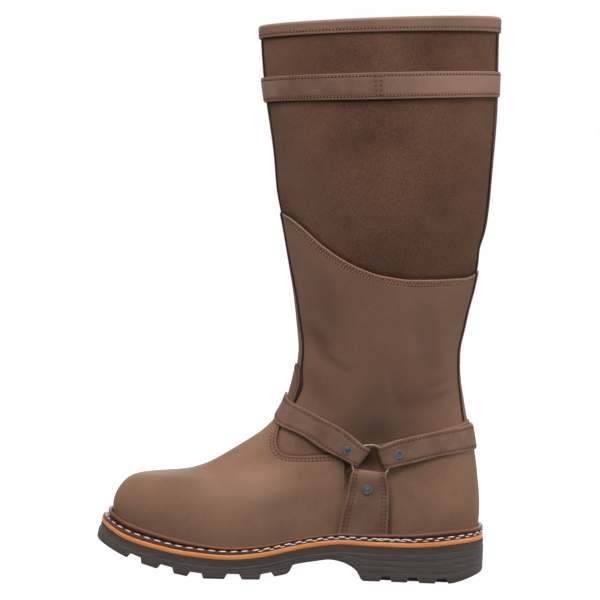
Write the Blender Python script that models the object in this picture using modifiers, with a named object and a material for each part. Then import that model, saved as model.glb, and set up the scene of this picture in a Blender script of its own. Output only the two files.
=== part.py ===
"""Tall leather harness boot for the right foot, on a welted lug sole.

The upper is one hollow wall lofted through the sections of the last. The overlays, straps and
trim are laid on that same form at stated heights, so that every piece follows the last.
Sizes are in millimetres and become metres where the meshes are made. +Z is up, the toe points
to -X, the inner side of the foot faces -Y, and the origin is on the floor under the middle.
"""

import math

import bmesh
import bpy
import numpy as np
from mathutils import Vector

MM = 0.001

# Leather and gaps
WALL = 2.4
OVERLAY = 1.6
STRAP = 1.8
BINDING = 1.4
GAP = 0.4
FOOT_GAP = 0.6
SEAM_STEP = 1.2

# Sole stack
SOLE_LENGTH = 309.0
MIDSOLE = 3.8
INSOLE = 3.0
SOLE_TRIM = 1.0
WELT_FLANGE = 2.2
WELT_CLEARANCE = 0.9
WELT_TRIM = 1.4
BEAD_WIDTH = 2.6
TOE_FLARE = 2.6
LUG_DEPTH = 4.3

# Harness ring and rivets
RING_RADIUS = 15.2
RING_WIRE = 2.4
RIVET_RADIUS = 3.7
RIVET_HEIGHT = 1.4

# Mesh density
COLUMNS = 40
SOLE_COLUMNS = 48
RING_COLUMNS = 18
WIRE_COLUMNS = 6
RIVET_COLUMNS = 12

COLLECTION = "harness_boot"

# Side view of the sole: the line that the midsole lies on, and the line of the lug tips
SEAT_LINE = {
    "x": (-154.5, -142, -130, -105, -80, -50, -22, 0, 20, 42, 65, 90, 110, 130, 154.5),
    "z": (38.3, 31.6, 26.4, 20.6, 16.6, 14.6, 17.2, 22.0, 25.6, 27.8, 27.1, 27.0, 28.3, 30.8, 33.4),
}
TREAD_LINE = {
    "x": (-154.5, -128, -104, -85, -68, -24, -11, 0, 10, 20, 31, 40, 48.5, 54, 57.4, 128, 149, 154.5),
    "z": (23.8, 13.0, 6.3, 2.3, 0, 0, 2.6, 5.2, 10.2, 14.6, 16.0, 14.6, 11.0, 6.2, 0, 0, 7.0, 10.5),
}

# Height of the welt's bead along the sole
BEAD_LINE = {
    "x": (-154.5, -110, -50, 20, 40, 75, 120, 154.5),
    "z": (10.0, 8.6, 5.6, 3.6, 3.6, 5.4, 7.4, 6.4),
}

# Plan view of the last: how far its middle line swings from the long axis
SWING_LINE = {"x": (-154.5, -92, -43, 40, 105, 154.5), "y": (-9.5, -4.5, 0, 3.5, 0.5, 0)}

# Drop of the shaft seam below the straight line between its ends, along the seam
SEAM_LINE = {
    "s": (0, 0.1, 0.2, 0.3, 0.4, 0.5, 0.6, 0.7, 0.8, 0.9, 0.96, 1),
    "z": (0, -3.4, -11.0, -17.0, -21.4, -23.8, -24.0, -22.2, -18.6, -13.0, -7.0, 0),
}


def monotone(line, x):
    """A smooth curve through the points of a two-column table, with no overshoot between them."""
    xs, ys = (np.array(column, float) for column in line.values())
    step = np.diff(xs)
    slope = np.diff(ys) / step
    tangent = np.zeros(len(xs))
    same_way = slope[:-1] * slope[1:] > 0
    mean = 2 * slope[:-1] * slope[1:] / np.where(same_way, slope[:-1] + slope[1:], 1)
    tangent[1:-1] = np.where(same_way, mean, 0)
    tangent[0], tangent[-1] = slope[0], slope[-1]
    x = np.clip(np.asarray(x, float), xs[0], xs[-1])
    i = np.clip(np.searchsorted(xs, x) - 1, 0, len(step) - 1)
    t = (x - xs[i]) / step[i]
    rise = (3 - 2 * t) * t * t
    bend = t * (1 - t) * step[i]
    return ys[i] + (ys[i + 1] - ys[i]) * rise + bend * (tangent[i] * (1 - t) - tangent[i + 1] * t)


def seat(x):
    """Height of the outsole's top, which the midsole lies on."""
    return monotone(SEAT_LINE, x)


def feather(x):
    """Height at which the upper meets the midsole."""
    return seat(x) + MIDSOLE + FOOT_GAP


# The sections of the upper, from the sole to the collar. Each is a ring whose side view is a
# line from a front point to a back point. ball, waist and heel are half widths, ball_at and
# heel_at say where along the ring the full width starts and ends, power sets how blunt the ends
# are, swing how much the ring follows the last's curve in plan, follow how much it follows the
# sole in side view, and seam how much it follows the shaft seam.
SECTION_COLUMNS = (
    "front_x", "front_z", "back_x", "back_z", "ball", "waist", "heel",
    "ball_at", "heel_at", "power", "swing", "follow", "seam",
)
SECTIONS = {
    "feather":    (-140.4, float(feather(-140.4)), 147.6, float(feather(147.6)),
                   48.0, 36.2, 33.0, 0.34, 0.85, 2.35, 1.0, 1.0, 0),
    "wall":       (-141.2, 49.3, 148.5, 51.8, 49.3, 37.4, 34.4, 0.34, 0.85, 2.35, 1.0, 1.0, 0),
    "shoulder":   (-139.2, 59.2, 148.0, 66.8, 48.3, 37.0, 34.0, 0.34, 0.85, 2.35, 1.0, 0.9, 0),
    "crown":      (-131.6, 69.4, 146.4, 79.8, 45.5, 35.8, 32.8, 0.35, 0.84, 2.3, 1.0, 0.75, 0),
    "toe_top":    (-117.4, 74.3, 144.6, 92.8, 41.0, 34.2, 31.4, 0.36, 0.83, 2.25, 1.0, 0.55, 0),
    "vamp_low":   (-93.0, 76.3, 142.2, 105.8, 36.2, 32.6, 30.2, 0.38, 0.81, 2.15, 0.9, 0.35, 0),
    "vamp":       (-67.2, 84.4, 139.6, 118.8, 33.2, 31.8, 29.6, 0.42, 0.78, 2.1, 0.8, 0.2, 0),
    "instep_low": (-41.0, 100.2, 136.4, 132.8, 32.2, 32.2, 30.2, 0.46, 0.74, 2.05, 0.6, 0.1, 0),
    "instep":     (-22.4, 114.0, 133.8, 145.8, 32.8, 33.6, 31.8, 0.48, 0.68, 2.0, 0.4, 0, 0),
    "throat":     (-9.4, 131.6, 131.4, 158.8, 34.6, 35.4, 34.2, 0.5, 0.62, 2.0, 0.2, 0, 0),
    "tongue":     (-2.8, 153.5, 130.2, 172.8, 37.0, 37.4, 37.0, 0.5, 0.56, 1.95, 0.1, 0, 0),
    "ankle":      (0.2, 176.0, 130.4, 185.8, 38.9, 38.9, 38.9, 0.5, 0.52, 1.95, 0, 0, 0),
    "shin":       (-1.6, 195.8, 132.9, 198.8, 40.0, 40.0, 40.0, 0.5, 0.5, 1.9, 0, 0, 0.1),
    "calf_low":   (-5.2, 220.8, 136.0, 215.8, 41.0, 41.0, 41.0, 0.5, 0.5, 1.9, 0, 0, 0.4),
    "calf":       (-10.8, 248.8, 139.8, 232.8, 42.1, 42.1, 42.1, 0.5, 0.5, 1.9, 0, 0, 0.75),
    "seam":       (-18.0, 282.8, 143.4, 254.8, 43.4, 43.4, 43.4, 0.5, 0.5, 1.9, 0, 0, 1.0),
    "above_seam": (-23.6, 306.8, 149.0, 291.8, 45.4, 45.4, 45.4, 0.5, 0.5, 1.9, 0, 0, 0.75),
    "shaft_low":  (-27.0, 334.8, 151.2, 329.8, 47.2, 47.2, 47.2, 0.5, 0.5, 1.9, 0, 0, 0.4),
    "shaft":      (-32.6, 366.8, 152.0, 368.8, 48.6, 48.6, 48.6, 0.5, 0.5, 1.9, 0, 0, 0.1),
    "shaft_high": (-38.2, 400.8, 152.0, 408.8, 49.2, 49.2, 49.2, 0.5, 0.5, 1.9, 0, 0, 0),
    "collar":     (-41.0, 432.9, 151.3, 446.6, 49.6, 49.6, 49.6, 0.5, 0.5, 1.9, 0, 0, 0),
}
LEVELS = {name: level for level, name in enumerate(SECTIONS)}
TOP = LEVELS["collar"]
SEAM = LEVELS["seam"]

# The same columns for the outline of the sole, without the heights
SOLE_OUTLINE = {
    "front_x": -SOLE_LENGTH / 2, "back_x": SOLE_LENGTH / 2, "ball": 55.5, "waist": 43.2, "heel": 39.6,
    "ball_at": 0.345, "heel_at": 0.85, "power": 2.35, "swing": 1.0,
}


def natural_spline(values):
    """Second derivatives of a smooth curve through evenly spaced rows, one curve for each column."""
    count = len(values)
    system = np.eye(count)
    curve = np.zeros_like(values)
    for i in range(1, count - 1):
        system[i, i - 1:i + 2] = 1, 4, 1
        curve[i] = 6 * (values[i + 1] - 2 * values[i] + values[i - 1])
    return np.linalg.solve(system, curve)


SECTION_VALUES = np.array(list(SECTIONS.values()), float)
SECTION_CURVES = natural_spline(SECTION_VALUES)


def section(level):
    """The columns of the section at a level, which may lie between two rows of the table."""
    level = np.asarray(level, float)
    i = np.clip(np.floor(level).astype(int), 0, TOP - 1)
    t = (level - i)[..., None]
    low, high = SECTION_VALUES[i], SECTION_VALUES[i + 1]
    bend_low, bend_high = SECTION_CURVES[i], SECTION_CURVES[i + 1]
    values = low + t * (high - low - (2 * bend_low + bend_high) / 6)
    values = values + t * t * bend_low / 2 + t ** 3 * (bend_high - bend_low) / 6
    return dict(zip(SECTION_COLUMNS, np.moveaxis(values, -1, 0)))


def rounded_end(t, power):
    """0 at the end of a ring, 1 where its full width starts, with a blunt round between."""
    inside = 1 - np.clip(t, 0, 1)
    return np.maximum(1 - inside ** power, 0) ** (1 / power)


def half_width(ring, s):
    """Half width of a ring at a share s of the way from its front to its back."""
    waist_at = ring["ball_at"] + 0.55 * (ring["heel_at"] - ring["ball_at"])

    def ease(start, end):
        t = np.clip((s - start) / np.maximum(end - start, 1e-6), 0, 1)
        return t * t * (3 - 2 * t)

    width = ring["ball"] + (ring["waist"] - ring["ball"]) * ease(ring["ball_at"], waist_at)
    width = width + (ring["heel"] - ring["waist"]) * ease(waist_at, ring["heel_at"])
    front = rounded_end(s / ring["ball_at"], ring["power"])
    back = rounded_end((1 - s) / (1 - ring["heel_at"]), ring["power"])
    return width * front * back


def plan_point(ring, angle):
    """x, y and share s on a ring. The angle runs from the toe by the inner side to the heel and back."""
    s = (1 - np.cos(angle)) / 2
    x = ring["front_x"] + s * (ring["back_x"] - ring["front_x"])
    side = np.where(np.sin(angle) >= 0, -1.0, 1.0)
    y = ring["swing"] * monotone(SWING_LINE, x) + side * half_width(ring, s)
    return x, y, s


def ring_height(ring, x, s):
    """Height of a ring: its chord, bent to follow the sole and the shaft seam."""
    chord = ring["front_z"] + s * (ring["back_z"] - ring["front_z"])
    sole_front, sole_back = seat(ring["front_x"]), seat(ring["back_x"])
    sole_bend = seat(x) - (sole_front + s * (sole_back - sole_front))
    return chord + ring["follow"] * sole_bend + ring["seam"] * monotone(SEAM_LINE, s)


def form(level, angle):
    """Point of the upper's outer surface."""
    ring = section(level)
    x, y, s = plan_point(ring, angle)
    return np.stack([x, y, ring_height(ring, x, s)], axis=-1)


def surface(level, angle, lift=0.0):
    """Point at a height above the upper's outer surface, measured along its normal."""
    level, angle = np.broadcast_arrays(np.asarray(level, float), np.asarray(angle, float))
    step = 0.02
    along = form(level, angle + step) - form(level, angle - step)
    up = form(level + step, angle) - form(level - step, angle)
    normal = np.cross(along, up)
    normal /= np.linalg.norm(normal, axis=-1, keepdims=True)
    return form(level, angle) + np.asarray(lift, float)[..., None] * normal


def locate(x, z):
    """Level and angle on the inner side of the upper for a point of the side view."""
    x, z = np.broadcast_arrays(np.asarray(x, float), np.asarray(z, float))
    low, high = np.zeros(x.shape), np.full(x.shape, float(TOP))
    for _ in range(40):
        level = (low + high) / 2
        ring = section(level)
        s = np.clip((x - ring["front_x"]) / (ring["back_x"] - ring["front_x"]), 0, 1)
        below = ring_height(ring, x, s) < z
        low, high = np.where(below, level, low), np.where(below, high, level)
    return level, np.arccos(1 - 2 * s)


# Making solids

def material(name, colour, roughness, metallic=0.0):
    made = bpy.data.materials.new(name)
    made.use_nodes = True
    shader = made.node_tree.nodes["Principled BSDF"]
    shader.inputs["Base Color"].default_value = (*colour, 1.0)
    shader.inputs["Roughness"].default_value = roughness
    shader.inputs["Metallic"].default_value = metallic
    return made


def add_object(name, mesh, finish, collection):
    mesh.materials.append(finish)
    made = bpy.data.objects.new(name, mesh)
    collection.objects.link(made)
    return made


def finished_mesh(name, bm):
    bmesh.ops.recalc_face_normals(bm, faces=bm.faces)
    mesh = bpy.data.meshes.new(name)
    bm.to_mesh(mesh)
    bm.free()
    return mesh


def lofted(name, rings, closed):
    """Closed rings joined in order. A closed loft meets its first ring again, an open one is capped."""
    bm = bmesh.new()
    rows = [[bm.verts.new(point * MM) for point in ring] for ring in rings]
    count = len(rows[0])
    following = rows[1:] + rows[:1] if closed else rows[1:]
    for row, above in zip(rows, following):
        for i in range(count):
            j = (i + 1) % count
            bm.faces.new((row[i], row[j], above[j], above[i]))
    if not closed:
        for row in (rows[0], rows[-1]):
            bm.faces.new((row[0], row[1], row[-1]))
            for i in range(1, count // 2 - 1):
                bm.faces.new((row[i], row[i + 1], row[count - i - 1], row[count - i]))
            middle = count // 2
            bm.faces.new((row[middle - 1], row[middle], row[middle + 1]))
    return finished_mesh(name, bm)


def sheet(name, grid):
    """An open surface through a grid of points, for Solidify."""
    bm = bmesh.new()
    rows = [[bm.verts.new(point * MM) for point in row] for row in grid]
    for row, above in zip(rows, rows[1:]):
        for i in range(len(row) - 1):
            bm.faces.new((row[i], row[i + 1], above[i + 1], above[i]))
    return finished_mesh(name, bm)


def thicken(made, thickness, offset):
    """Gives an open surface a leather's thickness: offset 1 grows it outwards, 0 both ways."""
    solidify = made.modifiers.new("thickness", "SOLIDIFY")
    solidify.thickness = thickness * MM
    solidify.offset = offset
    solidify.use_even_offset = True
    solidify.use_quality_normals = True


def face_outwards(mesh):
    """Turns an open surface so that its faces look away from the boot's middle plane and axis."""
    centre = Vector((60, 0, 100)) * MM
    away = 0.0
    for face in mesh.polygons:
        away += (face.center - centre).dot(face.normal) * face.area
    if away < 0:
        mesh.flip_normals()


# Sole

def sole_ring(inset, height, front_shift=0.0):
    """A ring on the sole's outline, drawn in by an inset, at a height that depends on x."""
    ring = dict(SOLE_OUTLINE)
    ring["front_x"] += inset + front_shift
    ring["back_x"] -= inset
    for column in ("ball", "waist", "heel"):
        ring[column] -= inset
    angle = np.linspace(0, 2 * math.pi, SOLE_COLUMNS, endpoint=False)
    x, y, _ = plan_point(ring, angle)
    return np.stack([x, y, height(x)], axis=-1)


def make_outsole(finish, collection, cutters):
    """Rubber unit with arch, heel, toe spring, a ribbed side and lugs parted by grooves."""
    edge_round, edge_height = 0.8, 1.2
    rib_drop, rib_depth, rib_half, rib_slope = 5.0, 0.8, 0.6, 0.4
    ledge, top_inset = 0.4, 0.6

    def tread(rise):
        return lambda x: monotone(TREAD_LINE, x) + rise

    def under_seat(drop):
        return lambda x: seat(x) - drop

    levels = (
        (edge_round, 0.0, tread(0.0)),
        (0.0, 0.0, tread(edge_height)),
        (0.0, TOE_FLARE * 0.5, under_seat(rib_drop + rib_half + rib_slope)),
        (rib_depth, TOE_FLARE * 0.6, under_seat(rib_drop + rib_half)),
        (rib_depth, TOE_FLARE * 0.7, under_seat(rib_drop - rib_half)),
        (ledge, TOE_FLARE * 0.8, under_seat(rib_drop - rib_half - rib_slope)),
        (top_inset, TOE_FLARE, under_seat(0.0)),
    )
    rings = [sole_ring(inset, height, shift) for inset, shift, height in levels]
    outsole = add_object("outsole", lofted("outsole", rings, closed=False), finish, collection)
    for cutter in tread_cutters(cutters):
        groove = outsole.modifiers.new(cutter.name, "BOOLEAN")
        groove.operation = "DIFFERENCE"
        groove.object = cutter
    return outsole


# Grooves of the tread: where each lies along the sole, and its width at the lug tips
GROOVES = {
    "x": (-122.0, -97.0, -73.5, -44.0, -17.5, 4.8, 75.8, 97.4, 120.0),
    "width": (12.6, 14.0, 13.4, 14.2, 12.2, 9.0, 9.4, 9.8, 11.0),
}
GROOVE_TAPER = 0.66
GROOVE_OVERRUN = 12.0
EDGE_LUG = 27.0
BAR_GROOVES = (-109.5, -85.0, -58.5, -30.5)
BAR_GROOVE_WIDTH = 8.0
BAR_GROOVE_LENGTH = 36.0


def tread_cutters(collection):
    """Tapered bars that cut the grooves: pairs at the edges, and bars across the middle of the forefoot."""
    made = []
    for x, width in zip(*GROOVES.values()):
        reach = float(half_width(SOLE_OUTLINE, (x + SOLE_LENGTH / 2) / SOLE_LENGTH))
        swing = float(monotone(SWING_LINE, x))
        for name, side in (("inner", -1), ("outer", 1)):
            length = EDGE_LUG + GROOVE_OVERRUN
            y = swing + side * (reach - EDGE_LUG + length / 2)
            made.append(groove_bar(f"groove_{name}_{x:.0f}", x, y, width, length, collection))
    for x in BAR_GROOVES:
        y = float(monotone(SWING_LINE, x))
        name = f"groove_middle_{x:.0f}"
        made.append(groove_bar(name, x, y, BAR_GROOVE_WIDTH, BAR_GROOVE_LENGTH, collection))
    return made


def groove_bar(name, x, y, width, length, collection):
    """A bar across the sole, narrower at its top, tilted to the tread where it cuts."""
    below, reach = 6.0, 5.0
    bm = bmesh.new()
    bmesh.ops.create_cube(bm, size=1.0)
    for vert in bm.verts:
        taper = GROOVE_TAPER if vert.co.z > 0 else 1 + (1 - GROOVE_TAPER) * below / LUG_DEPTH
        vert.co.x *= width * taper * MM
        vert.co.y *= length * MM
        vert.co.z = (LUG_DEPTH if vert.co.z > 0 else -below) * MM
    mesh = finished_mesh(name, bm)
    bar = bpy.data.objects.new(name, mesh)
    rise = float(monotone(TREAD_LINE, x + reach) - monotone(TREAD_LINE, x - reach))
    bar.location = (x * MM, y * MM, float(monotone(TREAD_LINE, x)) * MM)
    bar.rotation_euler = (0, -math.atan2(rise, 2 * reach), 0)
    bar.hide_render = True
    bar.display_type = "WIRE"
    collection.objects.link(bar)
    return bar


def make_midsole(finish, collection):
    """Leather board between the outsole and the welt."""
    bottom = sole_ring(SOLE_TRIM, lambda x: seat(x) + GAP, TOE_FLARE)
    top = sole_ring(SOLE_TRIM, lambda x: seat(x) + MIDSOLE, TOE_FLARE)
    return add_object("midsole", lofted("midsole", [bottom, top], closed=False), finish, collection)


def foot_ring(lift, height):
    """A ring round the foot of the upper, a lift away from it, at a height that depends on x."""
    angle = np.linspace(0, 2 * math.pi, SOLE_COLUMNS, endpoint=False)
    ring = {column: float(value) for column, value in section(0.0).items()}
    ring["front_x"] -= lift
    ring["back_x"] += lift
    for column in ("ball", "waist", "heel"):
        ring[column] += lift
    x, y, _ = plan_point(ring, angle)
    return np.stack([x, y, height(x)], axis=-1)


def make_welt(finish, collection):
    """Leather strip round the upper: a flange that carries the sole stitching, and a rolled bead."""
    inner = GAP + OVERLAY + GAP + WELT_CLEARANCE
    edge_share = 0.6

    def flange(share):
        return lambda x: feather(x) + share * WELT_FLANGE

    def bead(share):
        return lambda x: feather(x) + share * monotone(BEAD_LINE, x)

    rings = [
        foot_ring(inner, feather),
        sole_ring(WELT_TRIM, feather, TOE_FLARE),
        sole_ring(WELT_TRIM, flange(edge_share), TOE_FLARE),
        foot_ring(inner + BEAD_WIDTH, flange(1.0)),
        foot_ring(inner + BEAD_WIDTH, bead(0.8)),
        foot_ring(inner + 0.5 * BEAD_WIDTH, bead(1.0)),
        foot_ring(inner, bead(0.85)),
    ]
    return add_object("welt", lofted("welt", rings, closed=True), finish, collection)


def make_insole(finish, collection):
    """Leather board inside the foot of the upper."""
    inset = -(WALL + 2 * GAP)
    rings = [foot_ring(inset, feather), foot_ring(inset, lambda x: feather(x) + INSOLE)]
    return add_object("insole", lofted("insole", rings, closed=False), finish, collection)


# Upper and the pieces laid flat on it

UPPER_ANGLES = np.linspace(0, 2 * math.pi, COLUMNS, endpoint=False)
UPPER_LEVELS = np.concatenate([
    np.arange(LEVELS["toe_top"]), np.arange(LEVELS["toe_top"], LEVELS["shin"], 0.5),
    np.arange(LEVELS["shin"], TOP + 1),
])
INNER_LEVELS = [level for name, level in LEVELS.items() if name != "seam"]


def wall_lift(level):
    """The shaft above the seam is set back, because the lower shaft laps over it."""
    return -SEAM_STEP if level > SEAM else 0.0


def make_upper(finish, collection):
    """The hollow wall from the sole to the collar, with a step where the lower shaft laps the upper one."""
    step_width = 0.012
    outer = []
    for level in UPPER_LEVELS:
        outer.append(surface(level, UPPER_ANGLES, wall_lift(level)))
        if level == SEAM:
            outer.append(surface(level + step_width, UPPER_ANGLES, -SEAM_STEP))
    inner = [surface(level, UPPER_ANGLES, wall_lift(level) - WALL) for level in reversed(INNER_LEVELS)]
    return add_object("upper", lofted("upper", outer + inner, closed=True), finish, collection)


def column_levels(top):
    """Levels of the upper's own grid from the sole up to a top level."""
    near = 0.12
    between = (UPPER_LEVELS > FOOT_LEVEL + near) & (UPPER_LEVELS < top - near)
    return np.concatenate([[FOOT_LEVEL], UPPER_LEVELS[between], [top]])


def overlay(name, columns, finish, collection):
    """A leather piece laid on the upper. Each of its columns is a row of levels and a row of angles."""
    bm = bmesh.new()
    strips = []
    for levels, angles in columns:
        points = surface(levels, angles, GAP)
        strips.append([(level, bm.verts.new(point * MM)) for level, point in zip(levels, points)])
    for left, right in zip(strips, strips[1:]):
        i, j = 0, 0
        while i + 1 < len(left) or j + 1 < len(right):
            left_next = left[i + 1][0] if i + 1 < len(left) else math.inf
            right_next = right[j + 1][0] if j + 1 < len(right) else math.inf
            corners = [left[i][1], right[j][1]]
            if right_next <= left_next:
                j += 1
                corners.append(right[j][1])
            if left_next <= right_next:
                i += 1
                corners.append(left[i][1])
            bm.faces.new(corners)
    mesh = finished_mesh(name, bm)
    face_outwards(mesh)
    made = add_object(name, mesh, finish, collection)
    thicken(made, OVERLAY, 1)
    return made


# Edge of the vamp in side view, from the tip of its tongue to the back of its foot
VAMP_EDGE = {
    "x": (-3.0, 2.6, 2.4, -2.5, -9.0, -13.5, -12.8, -6.0, 6.0, 20.0, 36.0, 41.5, 43.5, 45.0),
    "z": (167.0, 160.0, 149.0, 136.0, 122.0, 110.0, 101.3, 96.4, 96.2, 97.4, 98.8, 91.0, 71.0, 34.0),
}
# Top edge of the counter in side view, from its front end to the back of the heel
COUNTER_EDGE = {
    "x": (58.0, 69.7, 90.8, 114.2, 133.0, 160.0),
    "z": (105.2, 108.2, 113.7, 120.2, 125.6, 127.6),
}
FOOT_LEVEL = 0.1
VAMP_COLUMNS = 11
VAMP_BETWEEN = (2.5, 2.8, 3.12, 3.3, 3.5, 4.4)
COUNTER_START = 13


def make_vamp(finish, collection):
    """Forefoot cover with a tongue that runs up the front, cut along VAMP_EDGE."""
    edge_level, edge_angle = locate(*VAMP_EDGE.values())
    edge_angle[0] = 0.0
    columns = np.unique(np.concatenate([np.arange(VAMP_COLUMNS + 1), VAMP_BETWEEN]))
    inner_side = []
    for angle in columns * UPPER_ANGLES[1]:
        levels = column_levels(np.interp(angle, edge_angle, edge_level))
        inner_side.append((levels, np.full(len(levels), angle)))
    back_levels = inner_side[-1][0][:-1]
    back_angles = np.interp(back_levels, edge_level[::-1], edge_angle[::-1])
    inner_side.append((back_levels, back_angles))
    outer_side = [(levels, -angles) for levels, angles in inner_side[:0:-1]]
    return overlay("vamp", outer_side + inner_side, finish, collection)


def make_counter(finish, collection):
    """Heel cover, cut along COUNTER_EDGE."""
    edge_level, edge_angle = locate(*COUNTER_EDGE.values())
    edge_angle[-1] = math.pi
    columns = []
    for angle in UPPER_ANGLES[COUNTER_START:COLUMNS - COUNTER_START + 1]:
        from_front = min(angle, 2 * math.pi - angle)
        levels = column_levels(np.interp(from_front, edge_angle, edge_level))
        columns.append((levels, np.full(len(levels), angle)))
    return overlay("counter", columns, finish, collection)


def make_binding(finish, collection):
    """Leather strip folded over the collar. Its heights are levels, where 1 is about 33 mm."""
    low, low_inside, rim, top = TOP - 0.32, TOP - 0.26, TOP + 0.015, TOP + 0.06
    out, back = -SEAM_STEP + GAP, -SEAM_STEP - WALL - GAP
    profile = (
        (low, out), (low, out + BINDING), (rim, out + BINDING), (top, out), (top, back),
        (rim, back - BINDING), (low_inside, back - BINDING), (low_inside, back), (rim, back), (rim, out),
    )
    rings = [surface(level, UPPER_ANGLES, lift) for level, lift in profile]
    return add_object("collar_binding", lofted("collar_binding", rings, closed=True), finish, collection)


PIPING_WIDTH = 1.8
PIPING = 1.2
PIPING_FRONT_ANGLE = 0.2
PIPING_BACK_ANGLE = math.pi - 0.25
PIPING_FRONT_FOOT = 10.8
PIPING_BACK_FOOT = 7.4
PIPING_TOP = TOP - 0.36


def make_piping(name, angle, bottom_level, finish, collection):
    """Thin strip along a seam of the shaft, from above the vamp or counter to the collar binding."""
    near, step_width = 0.1, 0.05
    between = (UPPER_LEVELS > bottom_level + near) & (UPPER_LEVELS < PIPING_TOP - near)
    levels = np.concatenate([[bottom_level], UPPER_LEVELS[between], [PIPING_TOP]])
    levels = np.insert(levels, np.searchsorted(levels, SEAM) + 1, SEAM + step_width)
    lifts = np.array([wall_lift(level) + GAP + PIPING / 2 for level in levels])
    width = section(levels)["ball"]
    half = PIPING_WIDTH / 2 / width
    grid = np.stack([surface(levels, angle - half, lifts), surface(levels, angle + half, lifts)], axis=1)
    made = add_object(name, sheet(name, grid), finish, collection)
    thicken(made, PIPING, 0)
    return made


# Edges of the calf strap: level at the front and at the back
CALF_STRAP_LOW = (18.24, 18.47)
CALF_STRAP_HIGH = (18.80, 18.93)
CALF_STRAP_STANDOFF = 2.0
CALF_STRAP_FRONT = 0.5
CALF_STRAP_BACK = 0.3


def make_calf_strap(finish, collection):
    """Closed strap round the upper shaft, standing off a little at the front."""
    s = (1 - np.cos(UPPER_ANGLES)) / 2
    from_front = np.minimum(UPPER_ANGLES, 2 * math.pi - UPPER_ANGLES)
    front_lift = CALF_STRAP_STANDOFF * np.exp(-(from_front / CALF_STRAP_FRONT) ** 2)
    over_piping = PIPING + GAP + PIPING / 2
    back_lift = over_piping * np.exp(-((UPPER_ANGLES - PIPING_BACK_ANGLE) / CALF_STRAP_BACK) ** 2)
    inside = -SEAM_STEP + GAP + front_lift + back_lift
    low = CALF_STRAP_LOW[0] + s * (CALF_STRAP_LOW[1] - CALF_STRAP_LOW[0])
    high = CALF_STRAP_HIGH[0] + s * (CALF_STRAP_HIGH[1] - CALF_STRAP_HIGH[0])
    profile = ((low, inside), (low, inside + STRAP), (high, inside + STRAP), (high, inside))
    rings = [surface(level, UPPER_ANGLES, lift) for level, lift in profile]
    return add_object("strap_calf", lofted("strap_calf", rings, closed=True), finish, collection)


# Harness: ring, straps folded round it, and rivets

LOW_LAYER = GAP + OVERLAY + GAP + STRAP / 2
RING_CLEARANCE = 0.9
RING_HEIGHT = LOW_LAYER + STRAP / 2 + RING_CLEARANCE + RING_WIRE / 2
HIGH_LAYER = RING_HEIGHT + RING_WIRE / 2 + RING_CLEARANCE + STRAP / 2
PRESSED_LAYER = LOW_LAYER + STRAP + 0.3
FAR_LAYER = LOW_LAYER + 1.1
RING_CENTRE = (60.4, 92.6)

# Edges of the straps in side view, from the fold at the ring to the far end
STRAP_EDGES = {
    "instep": {
        "share": (0, 0.22, 0.45, 0.70, 1),
        "top_x": (58.0, 42.4, 27.5, 9.0, -30), "top_z": (105.0, 115.8, 123.9, 132.2, 142.0),
        "low_x": (48.3, 33.0, 17.5, -1.0, -30), "low_z": (89.8, 97.2, 104.7, 113.6, 122.6),
    },
    "heel": {
        "share": (0, 0.28, 0.62, 1),
        "top_x": (64.8, 82.7, 113.9, 160), "top_z": (105.0, 112.5, 120.0, 124.0),
        "low_x": (70.4, 87.5, 118.6, 160), "low_z": (88.2, 92.1, 100.4, 104.6),
    },
    "side": {
        "share": (0, 0.4, 0.7, 1),
        "top_x": (72.0, 76.2, 76.4, 75.7), "top_z": (86.6, 67.0, 53.0, 38.6),
        "low_x": (48.8, 43.6, 41.2, 39.2), "low_z": (87.8, 68.0, 53.0, 37.6),
    },
}
# Runs from the fold: the end of the pocket for the ring, where the layers are pressed together, the rivet
STRAP_RUNS = {"instep": (8.2, 9.8, 13.9), "heel": (9.4, 11.0, 15.4), "side": (11.2, 12.6, 16.8)}
STRAP_STEP = 6.2
STRAP_CLOSING = 1.4
STRAP_SAMPLES = 81
TAIL = 6.5
TAIL_STEP = 2.0
TAIL_CLEAR = 0.8
TAIL_SLOPE = 4.5
FOLD_TURNS = np.radians((-60, -30, 0, 30, 60))


def strap_course(name, share):
    """Level and angle of a strap's low and top edge, at shares of its length."""
    table = STRAP_EDGES[name]
    edges = []
    for edge in ("low", "top"):
        level, angle = locate(table[edge + "_x"], table[edge + "_z"])
        edges.append([monotone({"share": table["share"], "v": column}, share) for column in (level, angle)])
    return edges


def strap_point(name, share, across, lift, side):
    """Point of a strap: across runs from its low edge to its top edge, side is 1 inside and -1 outside."""
    (low_level, low_angle), (top_level, top_angle) = strap_course(name, share)
    level = low_level + across * (top_level - low_level)
    angle = low_angle + across * (top_angle - low_angle)
    return surface(level, side * angle, lift)


def strap_shares(name, runs):
    """Shares of a strap's length for runs from its fold, measured along its middle line."""
    share = np.linspace(0, 1, STRAP_SAMPLES)
    points = strap_point(name, share, 0.5, np.full(STRAP_SAMPLES, LOW_LAYER), 1)
    length = np.concatenate([[0], np.cumsum(np.linalg.norm(np.diff(points, axis=0), axis=1))])
    return np.interp(runs, length, share), length[-1]


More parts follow.
